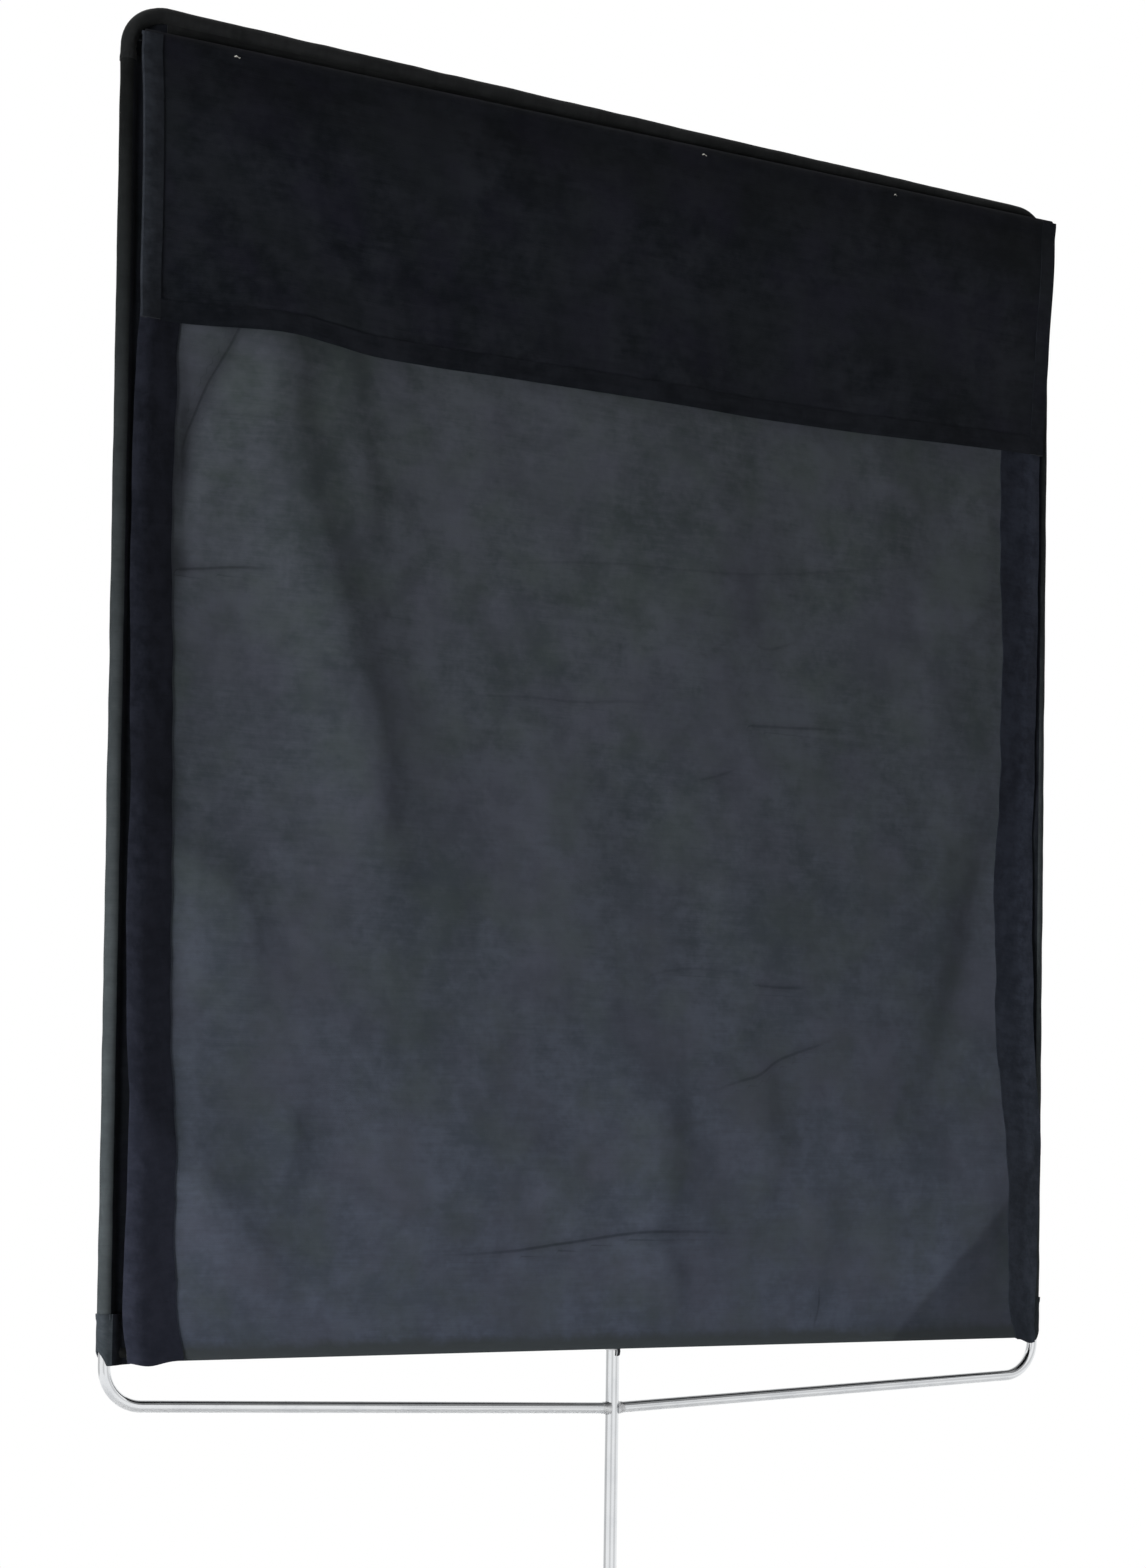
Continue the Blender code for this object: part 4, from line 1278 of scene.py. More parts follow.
RIGHT_OUT = [
    (-0.010, 0.0), (0.060, -0.0004), (0.140, -0.0022), (0.210, -0.0026), (0.300, -0.0014), (0.400, 0.0),
    (0.830, 0.0),
]
DROOPS = {
    -1: {"start": 0.0018, "fall": 0.0032, "at": 0.66, "spread": 0.32, "corner": 0.0034},
    1: {"start": 0.0020, "fall": 0.0044, "at": 0.80, "spread": 0.50, "corner": 0.0020},
}


def hem_width(sign, h):
    wobble = 0.0004 * np.sin(h * math.tau / 0.113 + sign) + 0.0003 * np.sin(h * math.tau / 0.041)
    return along_line(LEFT_HEM if sign < 0 else RIGHT_HEM, h) + wobble


def hem_relief(x, h):
    """The slight waves of the doubled cloth."""
    return 0.0004 * crumple(x, h, 0.035, 30.0) * ease(0.01, 0.05, h)


def hem_edge(sign, h):
    """Half width of the flop at a height: the corner draws in at the very bottom."""
    out = along_line(LEFT_OUT if sign < 0 else RIGHT_OUT, h)
    return flop_half + out - DROOPS[sign]["corner"] * (1 - ease(*CORNER_ENDS, h)) ** 2


def edge_curl(from_edge):
    """How far back the cloth curls next to its side edge."""
    return HEM_CURL * (1 - ease(0.0, CURL_BAND, from_edge))


def hem_bottom(sign, share):
    droop = DROOPS[sign]
    return -droop["start"] - droop["fall"] * bell(share - droop["at"], droop["spread"])


print("hem widths", LEFT_HEM[0][1], "to", LEFT_HEM[-1][1], "and", RIGHT_HEM[0][1], "to", RIGHT_HEM[-1][1])

# %% [markdown]
# The flop's cloth is turned round a rolled edge at the bottom, and that roll is the hinge.
# So the sheet starts behind the roll, passes under it and goes up the front. Its side edges
# lie inside the hems, which come next. Where the pressed lines run is stored with the points,
# and the cloth's finish reads it there to paint shade along them and groove its bumps.

# %% Flop cloth
FLOP_CELL = 0.0037
ROLL_RADIUS = 0.0016
ROLL_WRAP = ROLL_RADIUS + 0.0005
BACK_LEAD = 0.0030
HEM_INSIDE = 0.0014
ROLL_BLEND = 0.014

wrap_length = math.pi * ROLL_WRAP
flop_flat = (2 * (flop_half - HEM_INSIDE), BACK_LEAD + wrap_length + flop_height)


def over_roll(distance):
    """How far the cloth stands off the hinge line at a distance from its roll."""
    return ROLL_WRAP * (1 - ease(0.0, ROLL_BLEND, distance))


def lay_flop(u, v):
    angle = np.clip((v - BACK_LEAD) / ROLL_WRAP, 0, math.pi)
    h = np.maximum(BACK_LEAD - v, 0) + np.maximum(v - BACK_LEAD - wrap_length, 0)
    h = h - ROLL_WRAP * np.sin(angle)
    side = u / flop_flat[0] * 2 - 1
    edge = np.where(side < 0, hem_edge(-1, h), hem_edge(1, h))
    x = side * (edge - HEM_INSIDE)
    free = flop_forward(x, h) * (v > BACK_LEAD + wrap_length)
    forward = free - over_roll(h) * np.cos(angle) - edge_curl(edge - np.abs(x))
    return on_flop(x, forward, h)


flop = cloth("flop_cloth", flop_flat, FLOP_CELL, lay_flop, two_sided=(cloths["flop_grey"], face_black))
spots = points_of(flop.data)
creases = pressed_lines(spots[:, 0], spots[:, 2] - flop_hinge.z)
for name, values in zip(("crease_away", "pressed"), creases):
    kept = flop.data.attributes.new(name, "FLOAT", "POINT")
    kept.data.foreach_set("value", values)
hand_over(flop, "flop", "reverse_grey", ["flop_panel"])
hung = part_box("flop_panel")
print("flop lies from y", points_of(flop.data)[:, 1].min().round(4), "in a node from", round(hung[0].y, 4))

# %% [markdown]
# Each side hem is the edge of the cloth turned over to the front, so its black face shows.
# It lies on the sheet, goes round the sheet's edge and ends behind it. The left one narrows
# towards the top and the right one widens. Both droop a little below the sheet at their lower
# corners, where nothing holds them, and the right one is narrower there.

# %% Flop side hems
HEM_FLAT = 0.040
CORNER_NARROWS = {-1: 0.0, 1: 0.25}
NARROW_ENDS = (-0.004, 0.03)


def side_hem(side, sign):
    round_edge = math.pi * HEM_LIFT
    flat = (HEM_FLAT + round_edge + HEM_RETURN, flop_height)

    def lay(u, v):
        share = np.clip(u / HEM_FLAT, 0, 1)
        low = hem_bottom(sign, share)
        h = low + (flop_height - low) * v / flat[1]
        edge = hem_edge(sign, h)
        width = hem_width(sign, h) * (1 - CORNER_NARROWS[sign] * (1 - ease(*NARROW_ENDS, h)))
        angle = np.clip((u - HEM_FLAT) / HEM_LIFT, 0, math.pi)
        back = np.clip(u - HEM_FLAT - round_edge, 0, None)
        out = edge - HEM_LIFT - width * (1 - share) + HEM_LIFT * np.sin(angle) - back
        x = sign * out
        sheet = flop_forward(x, np.maximum(h, 0)) + over_roll(h)
        lifted = HEM_LIFT * np.cos(angle) + hem_relief(x, h) * (angle < 1.0)
        forward = sheet + lifted - edge_curl(edge - out)
        return on_flop(x, forward, h)

    made = cloth("flop_" + side + "_hem", flat, HEM_CELL, lay)
    # both finishes are lighter at the hem's rolled outer edge and low down, painted light
    finish = cloths["hem_black" if sign < 0 else "hem_right"]
    return hand_over(made, "flop", "hem_black", ["flop_hem_" + side], finish)


flop_hems = [side_hem(side, sign) for side, sign in SIDES]

# %% [markdown]
# The free hem crosses the flop's upper end, hidden behind the flap until the flop is let
# down. It is a flat turned strip on the front of the sheet.

# %% Flop free hem
FREE_HEM = 0.025

free_low, free_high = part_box("flop_hem_free")
free_flat = (free_high.x - free_low.x, FREE_HEM)


def lay_free_hem(u, v):
    x = free_low.x + u
    h = flop_height - FREE_HEM + v
    forward = flop_forward(x, h) + HEM_LIFT + 0.0002 * crumple(x, h, 0.04, 7.0)
    return on_flop(x, forward, h)


free_hem = cloth("flop_free_hem", free_flat, HEM_CELL, lay_free_hem)
hand_over(free_hem, "flop", "hem_black", ["flop_hem_free"], hem_navy)
flop_hems.append(free_hem)

# %% [markdown]
# The roll at the hinge is a strip of cloth wound on itself. Seen from its end it is a
# spiral, so its section is a spiral too. The flap's roll comes from the same function later.

# %% Hinge rolls
ROLL_CORE = 0.0004
ROLL_TURNS = 1.8
ROLL_CLOTH = 0.0005
ROLL_CELL = 0.0012


def hinge_roll(name, node, body, hinge, slope):
    low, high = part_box(node)
    length = high.x - low.x
    around = ROLL_TURNS * math.tau * (ROLL_CORE + ROLL_RADIUS) / 2

    def lay(u, v):
        share = u / around
        angle = share * ROLL_TURNS * math.tau
        radius = ROLL_CORE + (ROLL_RADIUS - ROLL_CLOTH / 2 - ROLL_CORE) * share
        x = low.x + v
        return x, hinge.y + radius * np.cos(angle), hinge.z + slope * x + radius * np.sin(angle)

    made = cloth(name, (around, length), ROLL_CELL, lay, thickness=ROLL_CLOTH)
    return hand_over(made, body, "hem_black", [node], hem_navy)


flop_roll = hinge_roll("flop_roll", "flop_hinge_roll", "flop", flop_hinge, 0.0)

# %% [markdown]
# A tape joins the flop's roll to the bottom sleeve. It is a strip folded double: it runs
# forward from the sleeve, turns over and comes back, and it dips a little halfway. The
# flap's seam is made the same way later, so the fold is one function.

# %% Folded strips
FOLD_GAP = 0.0006
FOLD_CELL = 0.0022


def folded_strip(name, node, back, front, height_at, dip, ends=1.0, set_back=0.0):
    """A doubled strip as wide as its node, from y back to y front, less past x ends."""
    low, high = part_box(node)
    reach = back - front
    flat = (high.x - low.x, 2 * reach + math.pi * FOLD_GAP)

    def lay(u, v):
        x = low.x + u
        angle = np.clip((v - reach) / FOLD_GAP, 0, math.pi)
        beyond = np.clip(v - reach - math.pi * FOLD_GAP, 0, None)
        y = back - np.minimum(v, reach) - FOLD_GAP * np.sin(angle) + beyond
        y = back + (y - back) * (1 - set_back / reach * ease(ends, ends + 0.005, np.abs(x)))
        bow = np.sin(math.pi * np.clip((back - y) / reach, 0, 1))
        sag = dip * bow * (1 + 0.6 * uneven(x, y, 0.03, 8.0))
        return x, y, height_at(x) + FOLD_GAP * np.cos(angle) - sag

    made = cloth(name, flat, FOLD_CELL, lay)
    hand_over(made, "frame", "hem_black", [node], hem_navy)
    return made, flat


tape_low, tape_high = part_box("flop_hinge_tape")
tape_z = (tape_low.z + tape_high.z) / 2
tape, tape_flat = folded_strip(
    "hinge_tape",
    "flop_hinge_tape",
    back=-0.0040,
    front=flop_hinge.y + ROLL_WRAP + PANEL_CLOTH / 2 + FOLD_GAP + 0.0002,
    height_at=lambda x: tape_z,
    dip=0.0004,
    ends=flop_half - LEFT_HEM[0][1] - 0.008,
    set_back=0.0016,
)

# %% [markdown]
# The flap is a band of the same cloth, black face out. Its upper edge is turned over a roll
# that lies a little askew, and its lower edge hangs free and waves. Its left corner lifts, and
# the edge bulges forward beside it. The measured outline is drawn with smooth lines through a
# few points.

# %% How the flap hangs
FLAP_LOWER_EDGE = [
    (-0.380, 0.8566), (-0.348, 0.8567), (-0.324, 0.8578), (-0.273, 0.8615), (-0.235, 0.8590),
    (-0.195, 0.8561), (-0.100, 0.8582), (0.020, 0.8593), (0.110, 0.8603), (0.232, 0.8635),
    (0.330, 0.8681), (0.385, 0.8697),
]
FLAP_LEFT_EDGE = [(0.84, -0.3700), (0.95, -0.3692), (1.06, -0.3718)]
FLAP_RIGHT_EDGE = [(0.84, 0.3672), (0.90, 0.3700), (0.97, 0.3743), (1.035, 0.3788), (1.06, 0.3786)]
FLAP_FORWARD = 0.0020
FLAP_FORWARD_DROP = 0.046
FLAP_RIPPLE = 0.0016
RIPPLE_DROPS = (0.11, 0.19)
RIPPLE_LENGTH = 0.26
RIPPLE_SHIFT = 0.05
RIPPLE_BACK = 0.0008
CORNER_LIFT = 0.0030
CORNER_LIFT_DROPS = (0.150, 0.186)
CORNER_LIFT_ACROSS = (0.345, 0.372)
EDGE_BULGE = 0.0032
EDGE_BULGE_AT = -0.272
EDGE_BULGE_SPREAD = 0.050
EDGE_BULGE_DROPS = (0.120, 0.190)

flap_half = 0.375
flap_tall = 0.1875


def flap_seam_z(x):
    return flap_hinge.z + flap_slope * x


def on_flap(x, forward, drop):
    """The place of a point that lies forward of the seam and a drop below it."""
    return x, flap_hinge.y - forward, flap_seam_z(x) - drop


def flap_forward(x, drop):
    """How far forward of the seam the middle of the flap's cloth lies."""
    lean = FLAP_FORWARD * ease(0.0, FLAP_FORWARD_DROP, drop)
    waves = np.sin(math.tau * (x + RIPPLE_SHIFT) / RIPPLE_LENGTH) + 0.5 * uneven(x, drop, 0.09, 40.0)
    ripple = np.maximum(FLAP_RIPPLE * ease(*RIPPLE_DROPS, drop) * waves, -RIPPLE_BACK)
    corner = CORNER_LIFT * ease(*CORNER_LIFT_DROPS, drop) * ease(*CORNER_LIFT_ACROSS, -x)
    bulge = EDGE_BULGE * bell(x - EDGE_BULGE_AT, EDGE_BULGE_SPREAD) * ease(*EDGE_BULGE_DROPS, drop)
    soft = 0.0008 * crumple(x, drop, 0.07, 44.0) + 0.0002 * crumple(x, drop, 0.02, 48.0)
    return lean + ripple + corner + bulge + soft * ease(0.01, 0.05, drop)


def flap_spot(across, drop_share):
    """A point of the flap: across from 0 to 1, and down from the seam, 0, to the edge, 1."""
    x = (across * 2 - 1) * flap_half
    z = flap_seam_z(x) - drop_share * flap_tall
    left = along_line(FLAP_LEFT_EDGE, z)
    right = along_line(FLAP_RIGHT_EDGE, z)
    x = left + (right - left) * across
    lowest = along_line(FLAP_LOWER_EDGE, x)
    drop = drop_share * (flap_seam_z(x) - lowest)
    return x, drop


middle_drop = flap_hinge.z - float(along_line(FLAP_LOWER_EDGE, 0.0))
print("flap seam at", round(flap_hinge.z, 4), "drop in the middle", round(middle_drop, 4))

# %% [markdown]
# The flap's cloth runs up from its lower edge, over the roll, and ends behind it. Its edges
# stop a little inside the hems.

# %% Flap cloth
FLAP_CELL = 0.0034
FLAP_BACK_LEAD = 0.0030
FLAP_INSIDE = 0.0019

flap_flat = (2 * flap_half, flap_tall + wrap_length + FLAP_BACK_LEAD)


def lay_flap(u, v):
    across = FLAP_INSIDE + (1 - 2 * FLAP_INSIDE) * u / flap_flat[0]
    x, drop = flap_spot(across, np.clip(1 - v / flap_tall, 0, 1 - 4 * FLAP_INSIDE))
    angle = np.clip((v - flap_tall) / ROLL_WRAP, 0, math.pi)
    behind = np.clip(v - flap_tall - wrap_length, 0, None)
    forward = flap_forward(x, drop) + over_roll(drop) * np.cos(angle)
    return on_flap(x, forward, drop + behind - ROLL_WRAP * np.sin(angle))


flap = cloth("flap_cloth", flap_flat, FLAP_CELL, lay_flap, two_sided=(cloths["flap_face"], reverse_grey))
hand_over(flap, "retaining_flap", "napped_black", ["flap_panel"])

# %% [markdown]
# Three hems edge the flap: a narrow one down each side and one along the lower edge. The
# side hems go round the edge like the flop's.

# %% Flap hems
FLAP_SIDE_HEM = 0.0125
FLAP_BOTTOM_HEM = 0.0130
FLAP_HEM_LIFT = 0.0009
FLAP_SIDE_CELL = 0.0022
FLAP_BOTTOM_CELL = 0.0026


def flap_side_hem(side, sign):
    round_edge = math.pi * FLAP_HEM_LIFT
    flat = (FLAP_SIDE_HEM + round_edge + HEM_RETURN, flap_tall)

    def lay(u, v):
        share = np.clip(u / FLAP_SIDE_HEM, 0, 1)
        edge_x, drop = flap_spot(np.full_like(u, 0.5 + sign * 0.5), 1 - v / flat[1])
        angle = np.clip((u - FLAP_SIDE_HEM) / FLAP_HEM_LIFT, 0, math.pi)
        back = np.clip(u - FLAP_SIDE_HEM - round_edge, 0, None)
        inward = FLAP_SIDE_HEM * (1 - share) - FLAP_HEM_LIFT * np.sin(angle) + back
        x = edge_x - sign * inward
        forward = flap_forward(x, drop) + over_roll(drop) + FLAP_HEM_LIFT * np.cos(angle)
        return on_flap(x, forward, drop)

    made = cloth("flap_" + side + "_hem", flat, FLAP_SIDE_CELL, lay)
    # the left hem's finish is lighter at its rolled edge, a painted highlight
    finish = cloths["flap_hem" if sign < 0 else "flap_face"]
    return hand_over(made, "retaining_flap", "hem_black", ["flap_hem_" + side], finish)


bottom_turn_edge = math.pi * FLAP_HEM_LIFT
bottom_hem_flat = (2 * (flap_half - FLAP_SIDE_HEM), FLAP_BOTTOM_HEM + bottom_turn_edge + HEM_RETURN)


def between_side_hems(u):
    """The share of the flap's width at a distance along the lower hem."""
    inset = FLAP_SIDE_HEM / (2 * flap_half)
    return inset + (1 - 2 * inset) * u / bottom_hem_flat[0]


def lay_bottom_hem(u, v):
    angle = np.clip((v - HEM_RETURN) / FLAP_HEM_LIFT, 0, math.pi)
    behind = np.maximum(HEM_RETURN - v, 0)
    front = np.maximum(v - HEM_RETURN - bottom_turn_edge, 0)
    above = FLAP_HEM_LIFT * (1 - np.sin(angle)) + behind + front
    x, drop = flap_spot(between_side_hems(u), 1 - above / flap_tall)
    return on_flap(x, flap_forward(x, drop) - FLAP_HEM_LIFT * np.cos(angle), drop)


flap_hems = [flap_side_hem(side, sign) for side, sign in SIDES]
bottom_hem = cloth("flap_bottom_hem", bottom_hem_flat, FLAP_BOTTOM_CELL, lay_bottom_hem)
hand_over(bottom_hem, "retaining_flap", "hem_black", ["flap_hem_bottom"], cloths["flap_low_hem"])
flap_hems.append(bottom_hem)
flap_roll = hinge_roll("flap_roll", "flap_hinge_roll", "retaining_flap", flap_hinge, flap_slope)

# %% [markdown]
# The flap's seam is the second folded strip, between the top allowance and the roll. It
# follows the roll's slant.

# %% Flap seam
seam, seam_flat = folded_strip(
    "flap_seam",
    "flap_seam_fold",
    back=-0.0022,
    front=flap_hinge.y + ROLL_WRAP + PANEL_CLOTH / 2 + FOLD_GAP + 0.0003,
    height_at=flap_seam_z,
    dip=0.0,
)

# %% [markdown]
# A row of stitches runs along every hem. One stitch is a thin six-sided rod with drawn-in
# ends. An Array modifier repeats it along a straight row, and the row is then laid on the
# cloth with the same formula that shaped the cloth, so each stitch sits on its hem.

# %% Stitches
STITCH_PITCH = 0.0036
STITCH_LENGTH = 0.0027
THREAD_RADIUS = 0.00022
THREAD_SINK = 0.0002
STITCH_TILT = 0.00006
STITCH_BOW = 0.0006


def stitch_row(name, body, length, lay):
    """lay(s, a, b) places a point s along the row, a across it and b above the cloth."""
    made = add(
        bpy.ops.mesh.primitive_cylinder_add,
        name,
        vertices=6,
        radius=THREAD_RADIUS,
        depth=STITCH_LENGTH,
        location=(STITCH_PITCH / 2, 0, 0),
        rotation=(0, math.pi / 2, 0),
    )
    with editing(made):
        choose(made, "FACE", lambda at: abs(at.x - STITCH_PITCH / 2) > STITCH_LENGTH / 2 - NEAR)
        bpy.ops.mesh.inset(thickness=THREAD_RADIUS * 0.4, depth=THREAD_RADIUS * 0.8, use_individual=True)
    modify(
        made,
        "ARRAY",
        count=int(length / STITCH_PITCH),
        use_relative_offset=False,
        use_constant_offset=True,
        constant_offset_displace=(STITCH_PITCH, 0, 0),
    )
    spots = points_of(made.data)
    tilt = np.where(np.floor(spots[:, 0] / STITCH_PITCH) % 2 < 1, 1.0, -1.0)
    within = (spots[:, 0] / STITCH_PITCH) % 1 - 0.5
    s, a = spots[:, 0], spots[:, 1] + STITCH_TILT * tilt * within
    b = spots[:, 2] - THREAD_SINK - STITCH_BOW * within**2
    put_points(made.data, np.stack(lay(s, a, b), axis=1))
    return hand_over(made, body, "hem_black", [], black_thread, angle=60)


ON_HEM = HEM_LIFT + PANEL_CLOTH / 2
SEAM_IN = 0.0022
STITCHES_FROM = 0.010


def flop_stitches(side, sign):
    def lay(s, a, b):
        s = s + STITCHES_FROM
        x = sign * (hem_edge(sign, s) - hem_width(sign, s) + SEAM_IN) + a
        forward = flop_forward(x, s) + over_roll(s) + hem_relief(x, s) + ON_HEM + b
        return on_flop(x, forward, s)

    length = flop_height - FREE_HEM - STITCHES_FROM
    return stitch_row("flop_" + side + "_stitches", "flop", length, lay)


for side, sign in SIDES:
    flop_stitches(side, sign)

# %% [markdown]
# The flap has one row along each of its three hems and one along its seam.

# %% Flap stitches
ON_FLAP_HEM = FLAP_HEM_LIFT + PANEL_CLOTH / 2
BELOW_SEAM = 0.0062


def lay_flap_bottom_stitches(s, a, b):
    x, drop = flap_spot(between_side_hems(s), 1 - (FLAP_BOTTOM_HEM - SEAM_IN + a) / flap_tall)
    return on_flap(x, flap_forward(x, drop) + ON_FLAP_HEM + b, drop)


def flap_side_stitches(side, sign):
    def lay(s, a, b):
        edge_x, drop = flap_spot(np.full_like(s, 0.5 + sign * 0.5), s / flap_tall)
        x = edge_x - sign * (FLAP_SIDE_HEM - SEAM_IN) + a
        return on_flap(x, flap_forward(x, drop) + over_roll(drop) + ON_FLAP_HEM + b, drop)

    return stitch_row("flap_" + side + "_stitches", "retaining_flap", flap_tall, lay)


def lay_seam_stitches(s, a, b):
    x = -flap_half + s
    drop = BELOW_SEAM - a
    return on_flap(x, flap_forward(x, drop) + over_roll(drop) + PANEL_CLOTH / 2 + b, drop)


stitch_row("flap_bottom_stitches", "retaining_flap", bottom_hem_flat[0], lay_flap_bottom_stitches)
for side, sign in SIDES:
    flap_side_stitches(side, sign)
stitch_row("flap_seam_stitches", "retaining_flap", 2 * flap_half, lay_seam_stitches)

# %% [markdown]
# On the back, the rows that close the sleeves show through the cover.

# %% Cover stitches
ALLOWANCE_SEAM = 0.0035


def cover_surface(x, z):
    _, y, _ = lay_cover(x + cover_half, z - cover_low)
    return y + PANEL_CLOTH / 2


def upright_row(sign):
    def lay(s, a, b):
        x = sign * (cover_half - ALLOWANCE + ALLOWANCE_SEAM) + a
        z = cover_low + BOTTOM_ALLOWANCE + s
        return x, cover_surface(x, z) + b, z

    return lay


def level_row(z_at):
    def lay(s, a, b):
        x = -cover_half + ALLOWANCE + s
        z = z_at + a
        return x, cover_surface(x, z) + b, z

    return lay


row_height = cover_high - cover_low - BOTTOM_ALLOWANCE - TOP_ALLOWANCE
for side, sign in SIDES:
    stitch_row("cover_" + side + "_stitches", "frame", row_height, upright_row(sign))
row_width = 2 * (cover_half - ALLOWANCE)
top_row = level_row(cover_high - TOP_ALLOWANCE + ALLOWANCE_SEAM)
bottom_row = level_row(cover_low + BOTTOM_ALLOWANCE - ALLOWANCE_SEAM)
stitch_row("cover_top_stitches", "frame", row_width, top_row)
stitch_row("cover_bottom_stitches", "frame", row_width, bottom_row)

# %% [markdown]
# Three ends of white thread were left in the flap's seam, and a scrap of black thread hangs
# where the pin comes out of the lower hem. Each is a short path of a few points with a
# round section.

# %% Loose threads
THREAD_SIDES = 8
TUFT_RADIUS = 0.00040
SCRAP_RADIUS = 0.00115


def loose_thread(name, body, points, radius, finish):
    """A smooth line through the points, extruded from a disc one step at a time."""
    line = [Vector(spot) for spot in smooth_line(points, 5)]
    made = disc(name, THREAD_SIDES, radius, line[0], line[1] - line[0])
    with editing(made):
        bpy.ops.mesh.select_all(action="SELECT")
        for a, b in zip(line, line[1:]):
            bpy.ops.mesh.extrude_region_move(TRANSFORM_OT_translate={"value": b - a})
        face_outwards()
    return hand_over(made, body, "hem_black", [], finish, angle=60)


# Each white end: its place across, its height and its half length.
TACKS = [(-0.3067, 1.0392, 0.0022), (0.0556, 1.0448, 0.0020), (0.2256, 1.0475, 0.0011)]
for number, (x, z, size) in enumerate(TACKS, 1):
    drop = np.array([flap_seam_z(x) - z])
    forward = flap_forward(np.array([x]), drop) + over_roll(drop) + PANEL_CLOTH / 2
    y = flap_hinge.y - float(forward[0])
    tuft = [
        (x - size, y + 0.0004, z),
        (x - size / 3, y - 0.0004, z + 0.0006),
        (x + size / 2, y - 0.0003, z - 0.0004),
        (x + size, y + 0.0004, z + 0.0007),
    ]
    loose_thread("white_thread_" + str(number), "retaining_flap", tuft, TUFT_RADIUS, white_thread)
scrap = [
    (-0.0006, -0.0068, 0.1880),
    (0.0004, -0.0072, 0.1846),
    (0.0010, -0.0070, 0.1812),
    (0.0006, -0.0068, 0.1784),
]
loose_thread("thread_scrap", "frame", scrap, SCRAP_RADIUS, black_thread)

# %% [markdown]
# Touch tape holds the flop behind the flap. Each pad has a thin woven border and a field of
# hooks or loops. The pad is a flat box whose corners are rounded, and its face is inset and
# sunk to leave the border.

# %% Touch tape
PAD_CORNER = 0.004
PAD_BORDER = 0.0016
PAD_SUNK = 0.0003


def touch_pad(name, node, body, facing, finish):
    low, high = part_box(node)
    centre = (low + high) / 2
    made = add(bpy.ops.mesh.primitive_cube_add, name, size=1.0)
    size = high - low
    with editing(made):
        bpy.ops.mesh.select_all(action="SELECT")
        bpy.ops.transform.resize(value=size, center_override=(0, 0, 0))
        bpy.ops.transform.translate(value=centre)
        choose(made, "EDGE", lambda at: abs(at.y - centre.y) < NEAR)
        bpy.ops.mesh.bevel(offset=PAD_CORNER, segments=5, affect="EDGES")
        choose(made, "FACE", lambda at: (at.y - centre.y) * facing > size.y / 2 - NEAR)
        bpy.ops.mesh.inset(thickness=PAD_BORDER, depth=-PAD_SUNK)
    return hand_over(made, body, "touch_tape", [node], finish, angle=30)


for side in ("left", "right"):
    touch_pad("hook_pad_" + side, "flop_hook_" + side, "flop", -1, hook_pile)
    touch_pad("loop_pad_" + side, "flap_loop_" + side, "retaining_flap", 1, loop_pile)

# %% [markdown]
# A room of plain white light. The world lights the cloth softly from everywhere and shows as
# white to the camera and in the metal. A large soft lamp low on the left makes the folds
# read. A weak one in front keeps the shadows open, one lights the back, and one hangs
# overhead. None of the lamps shows in the metal.

# %% World and lamps
WORLD_FILL = 0.075
# Each lamp: where it stands, what it looks at, its size and its power.
LAMPS = {
    "low_left": ((-4.1, -1.7, -0.12), (0.0, 0.0, 0.35), (1.8, 1.0), 262.0),
    "low_front": ((-0.3, -2.0, -0.3), (0.0, 0.0, 0.3), (1.6, 0.7), 5.0),
    "back_fill": ((0.8, 3.0, 1.0), (0.0, 0.0, 0.4), (2.4, 2.0), 44.0),
    "overhead": ((0.0, 0.5, 3.6), (0.0, 0.5, 0.0), (3.0, 3.0), 95.0),
}


def white_for_looks(nodes):
    """1 where a ray comes from the camera, from metal or through glass, and 0 for other light."""
    total = nodes.node("LightPath", output="Is Camera Ray")
    for kind in ("Is Glossy Ray", "Is Transmission Ray"):
        total = total.larger(nodes.node("LightPath", output=kind))
    return total


world = bpy.data.worlds.new("white room")
bpy.context.scene.world = world
world.use_nodes = True
room = Nodes(world.node_tree)
background = room.tree.nodes["Background"].inputs
brightness = room.node("MapRange", {}, {0: white_for_looks(room), 3: WORLD_FILL, 4: 1.0})
room.feed(background["Strength"], brightness)
room.feed(background["Color"], (1.0, 1.0, 1.0))

for name, (place, aim, size, power) in LAMPS.items():
    data = bpy.data.lights.new(name, "AREA")
    data.shape = "RECTANGLE"
    data.size, data.size_y = size
    data.energy = power
    lamp = bpy.data.objects.new(name, data)
    lamp.location = place
    lamp.rotation_mode = "QUATERNION"
    lamp.rotation_quaternion = (Vector(aim) - Vector(place)).to_track_quat("-Z", "Y")
    lamp.visible_glossy = False
    bpy.context.scene.collection.objects.link(lamp)
print("lamps", list(LAMPS))

# %% [markdown]
# Bright steel shows what stands round it, and in an all white room it would have no shape.
# Four large grey cards stand round the flag for the metal alone. No other ray sees them.

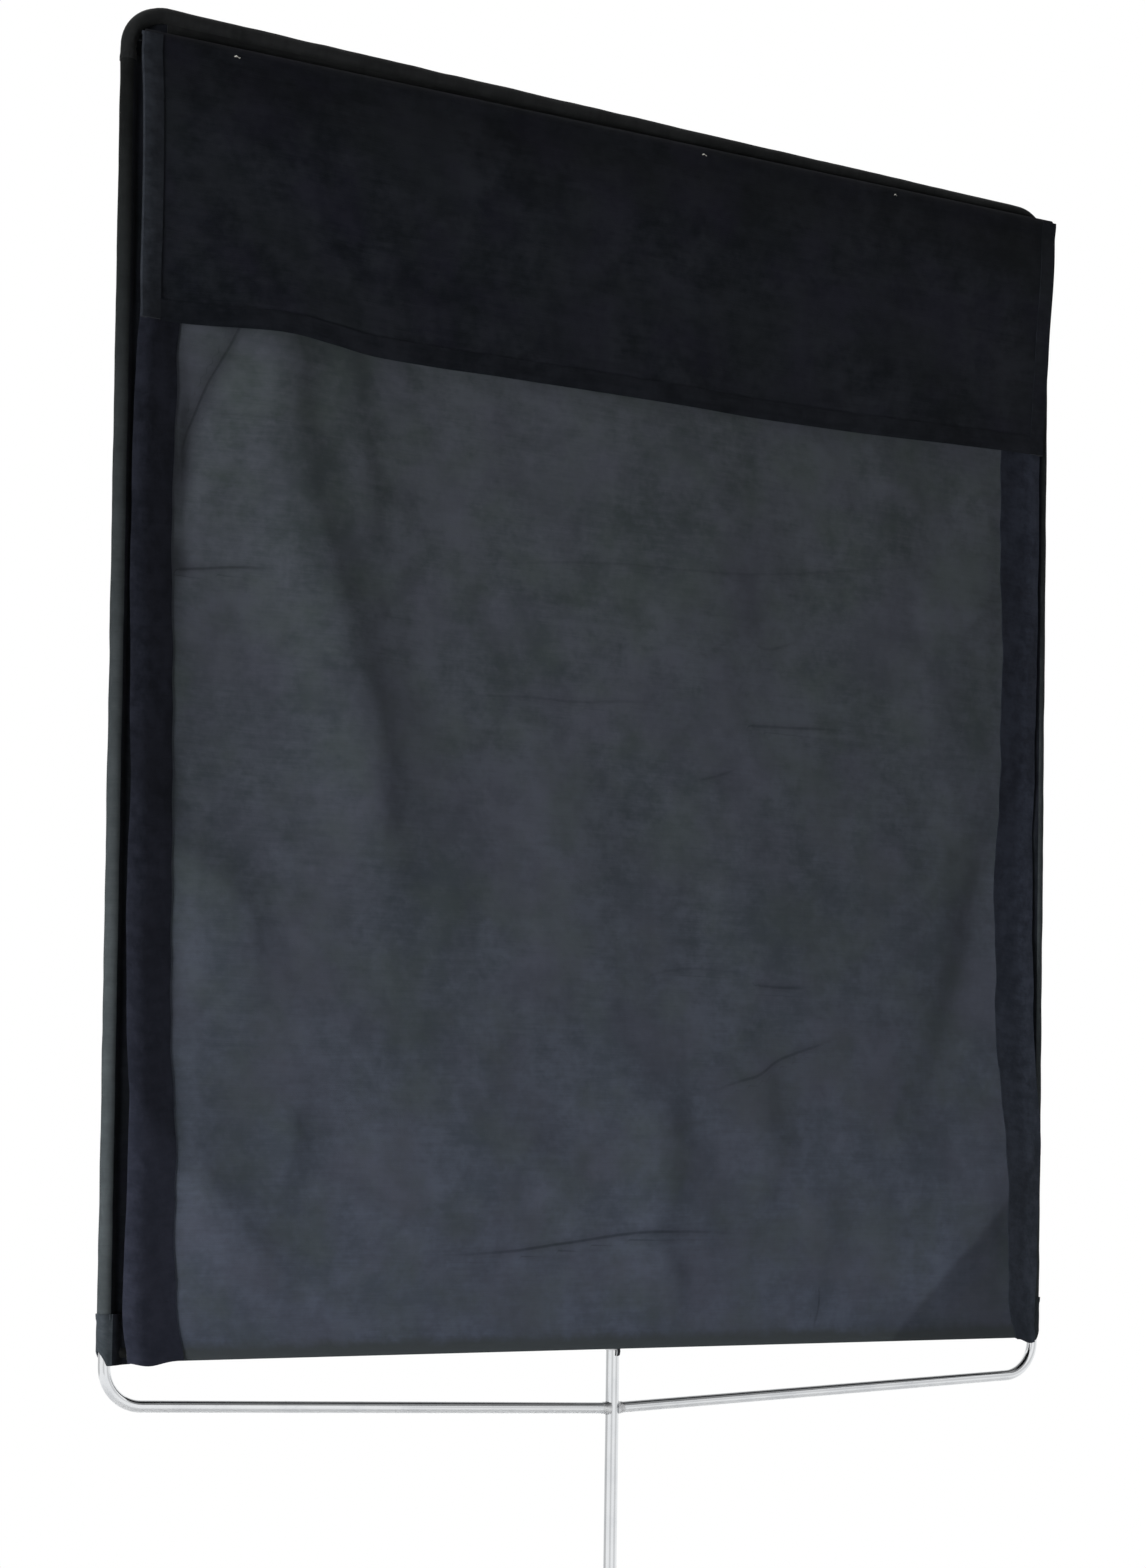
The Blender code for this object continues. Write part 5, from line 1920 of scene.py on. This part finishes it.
# %% Grey cards
# Each card: its grey, where it stands, what it looks at and its size.
CARDS = {
    "grey_ceiling": (0.26, (0.0, -0.8, 2.7), (0.0, -0.8, 0.0), (6.0, 6.6)),
    "grey_left": (0.60, (-2.40, 2.55, 0.5), (0.0, 0.0, 0.5), (4.0, 2.4)),
    "grey_camera_side": (0.73, (-2.30, -3.50, 0.5), (0.0, 0.0, 0.5), (2.2, 2.4)),
    "grey_right": (0.76, (2.75, -2.90, 0.5), (0.0, 0.0, 0.5), (2.8, 2.4)),
}


def card_finish(name, level):
    paint = Finish(name, Roughness=0.9)
    grain = paint.noise(paint.node("TexCoord", output=3), 3.0)
    shade = paint.blend(grain, (level * 0.9,) * 3, (level * 1.1,) * 3)
    glow = paint.node("Emission", {}, {"Color": shade, "Strength": 1.0})
    in_metal = paint.node("LightPath", output="Is Glossy Ray")
    return paint.show(in_metal, paint.node("BsdfTransparent"), glow)


for name, (grey_level, place, aim, size) in CARDS.items():
    facing = (Vector(aim) - Vector(place)).to_track_quat("Z", "Y").to_euler()
    card = add(bpy.ops.mesh.primitive_plane_add, name, size=1.0, location=place, rotation=facing)
    with editing(card):
        bpy.ops.mesh.select_all(action="SELECT")
        bpy.ops.transform.resize(
            value=(*size, 1.0),
            orient_matrix=facing.to_matrix(),
            orient_matrix_type="GLOBAL",
            orient_type="GLOBAL",
            center_override=place,
        )
    card.data.materials.append(card_finish(name, grey_level))
    print(name, points_of(card.data).round(2).tolist())

# %% [markdown]
# The flag is held in mid air by its pin, so the floor lies below the reach of the open flop.
# It turns to pure white further out, so that no horizon shows.

# %% Floor
FLOOR_Z = -0.70
FLOOR_SIZE = 60.0
FLOOR_FADES = (0.5, 2.4)

floor = add(bpy.ops.mesh.primitive_plane_add, "floor", size=FLOOR_SIZE, location=(0, 0, FLOOR_Z))
paint = Finish("floor", Roughness=0.9, Base_Color=(0.86, 0.86, 0.86))
away = paint.node("VectorMath", {"operation": "LENGTH"}, {0: paint.node("TexCoord", output=3)}, output=1)
far = away.within(*FLOOR_FADES) * white_for_looks(paint)
glow = paint.node("Emission", {}, {"Color": (1.0, 1.0, 1.0), "Strength": 1.0})
floor.data.materials.append(paint.show(far, Value(paint, paint.shader.outputs[0]), glow))
bpy.context.scene.view_settings.view_transform = "Standard"
print("floor at", FLOOR_Z)
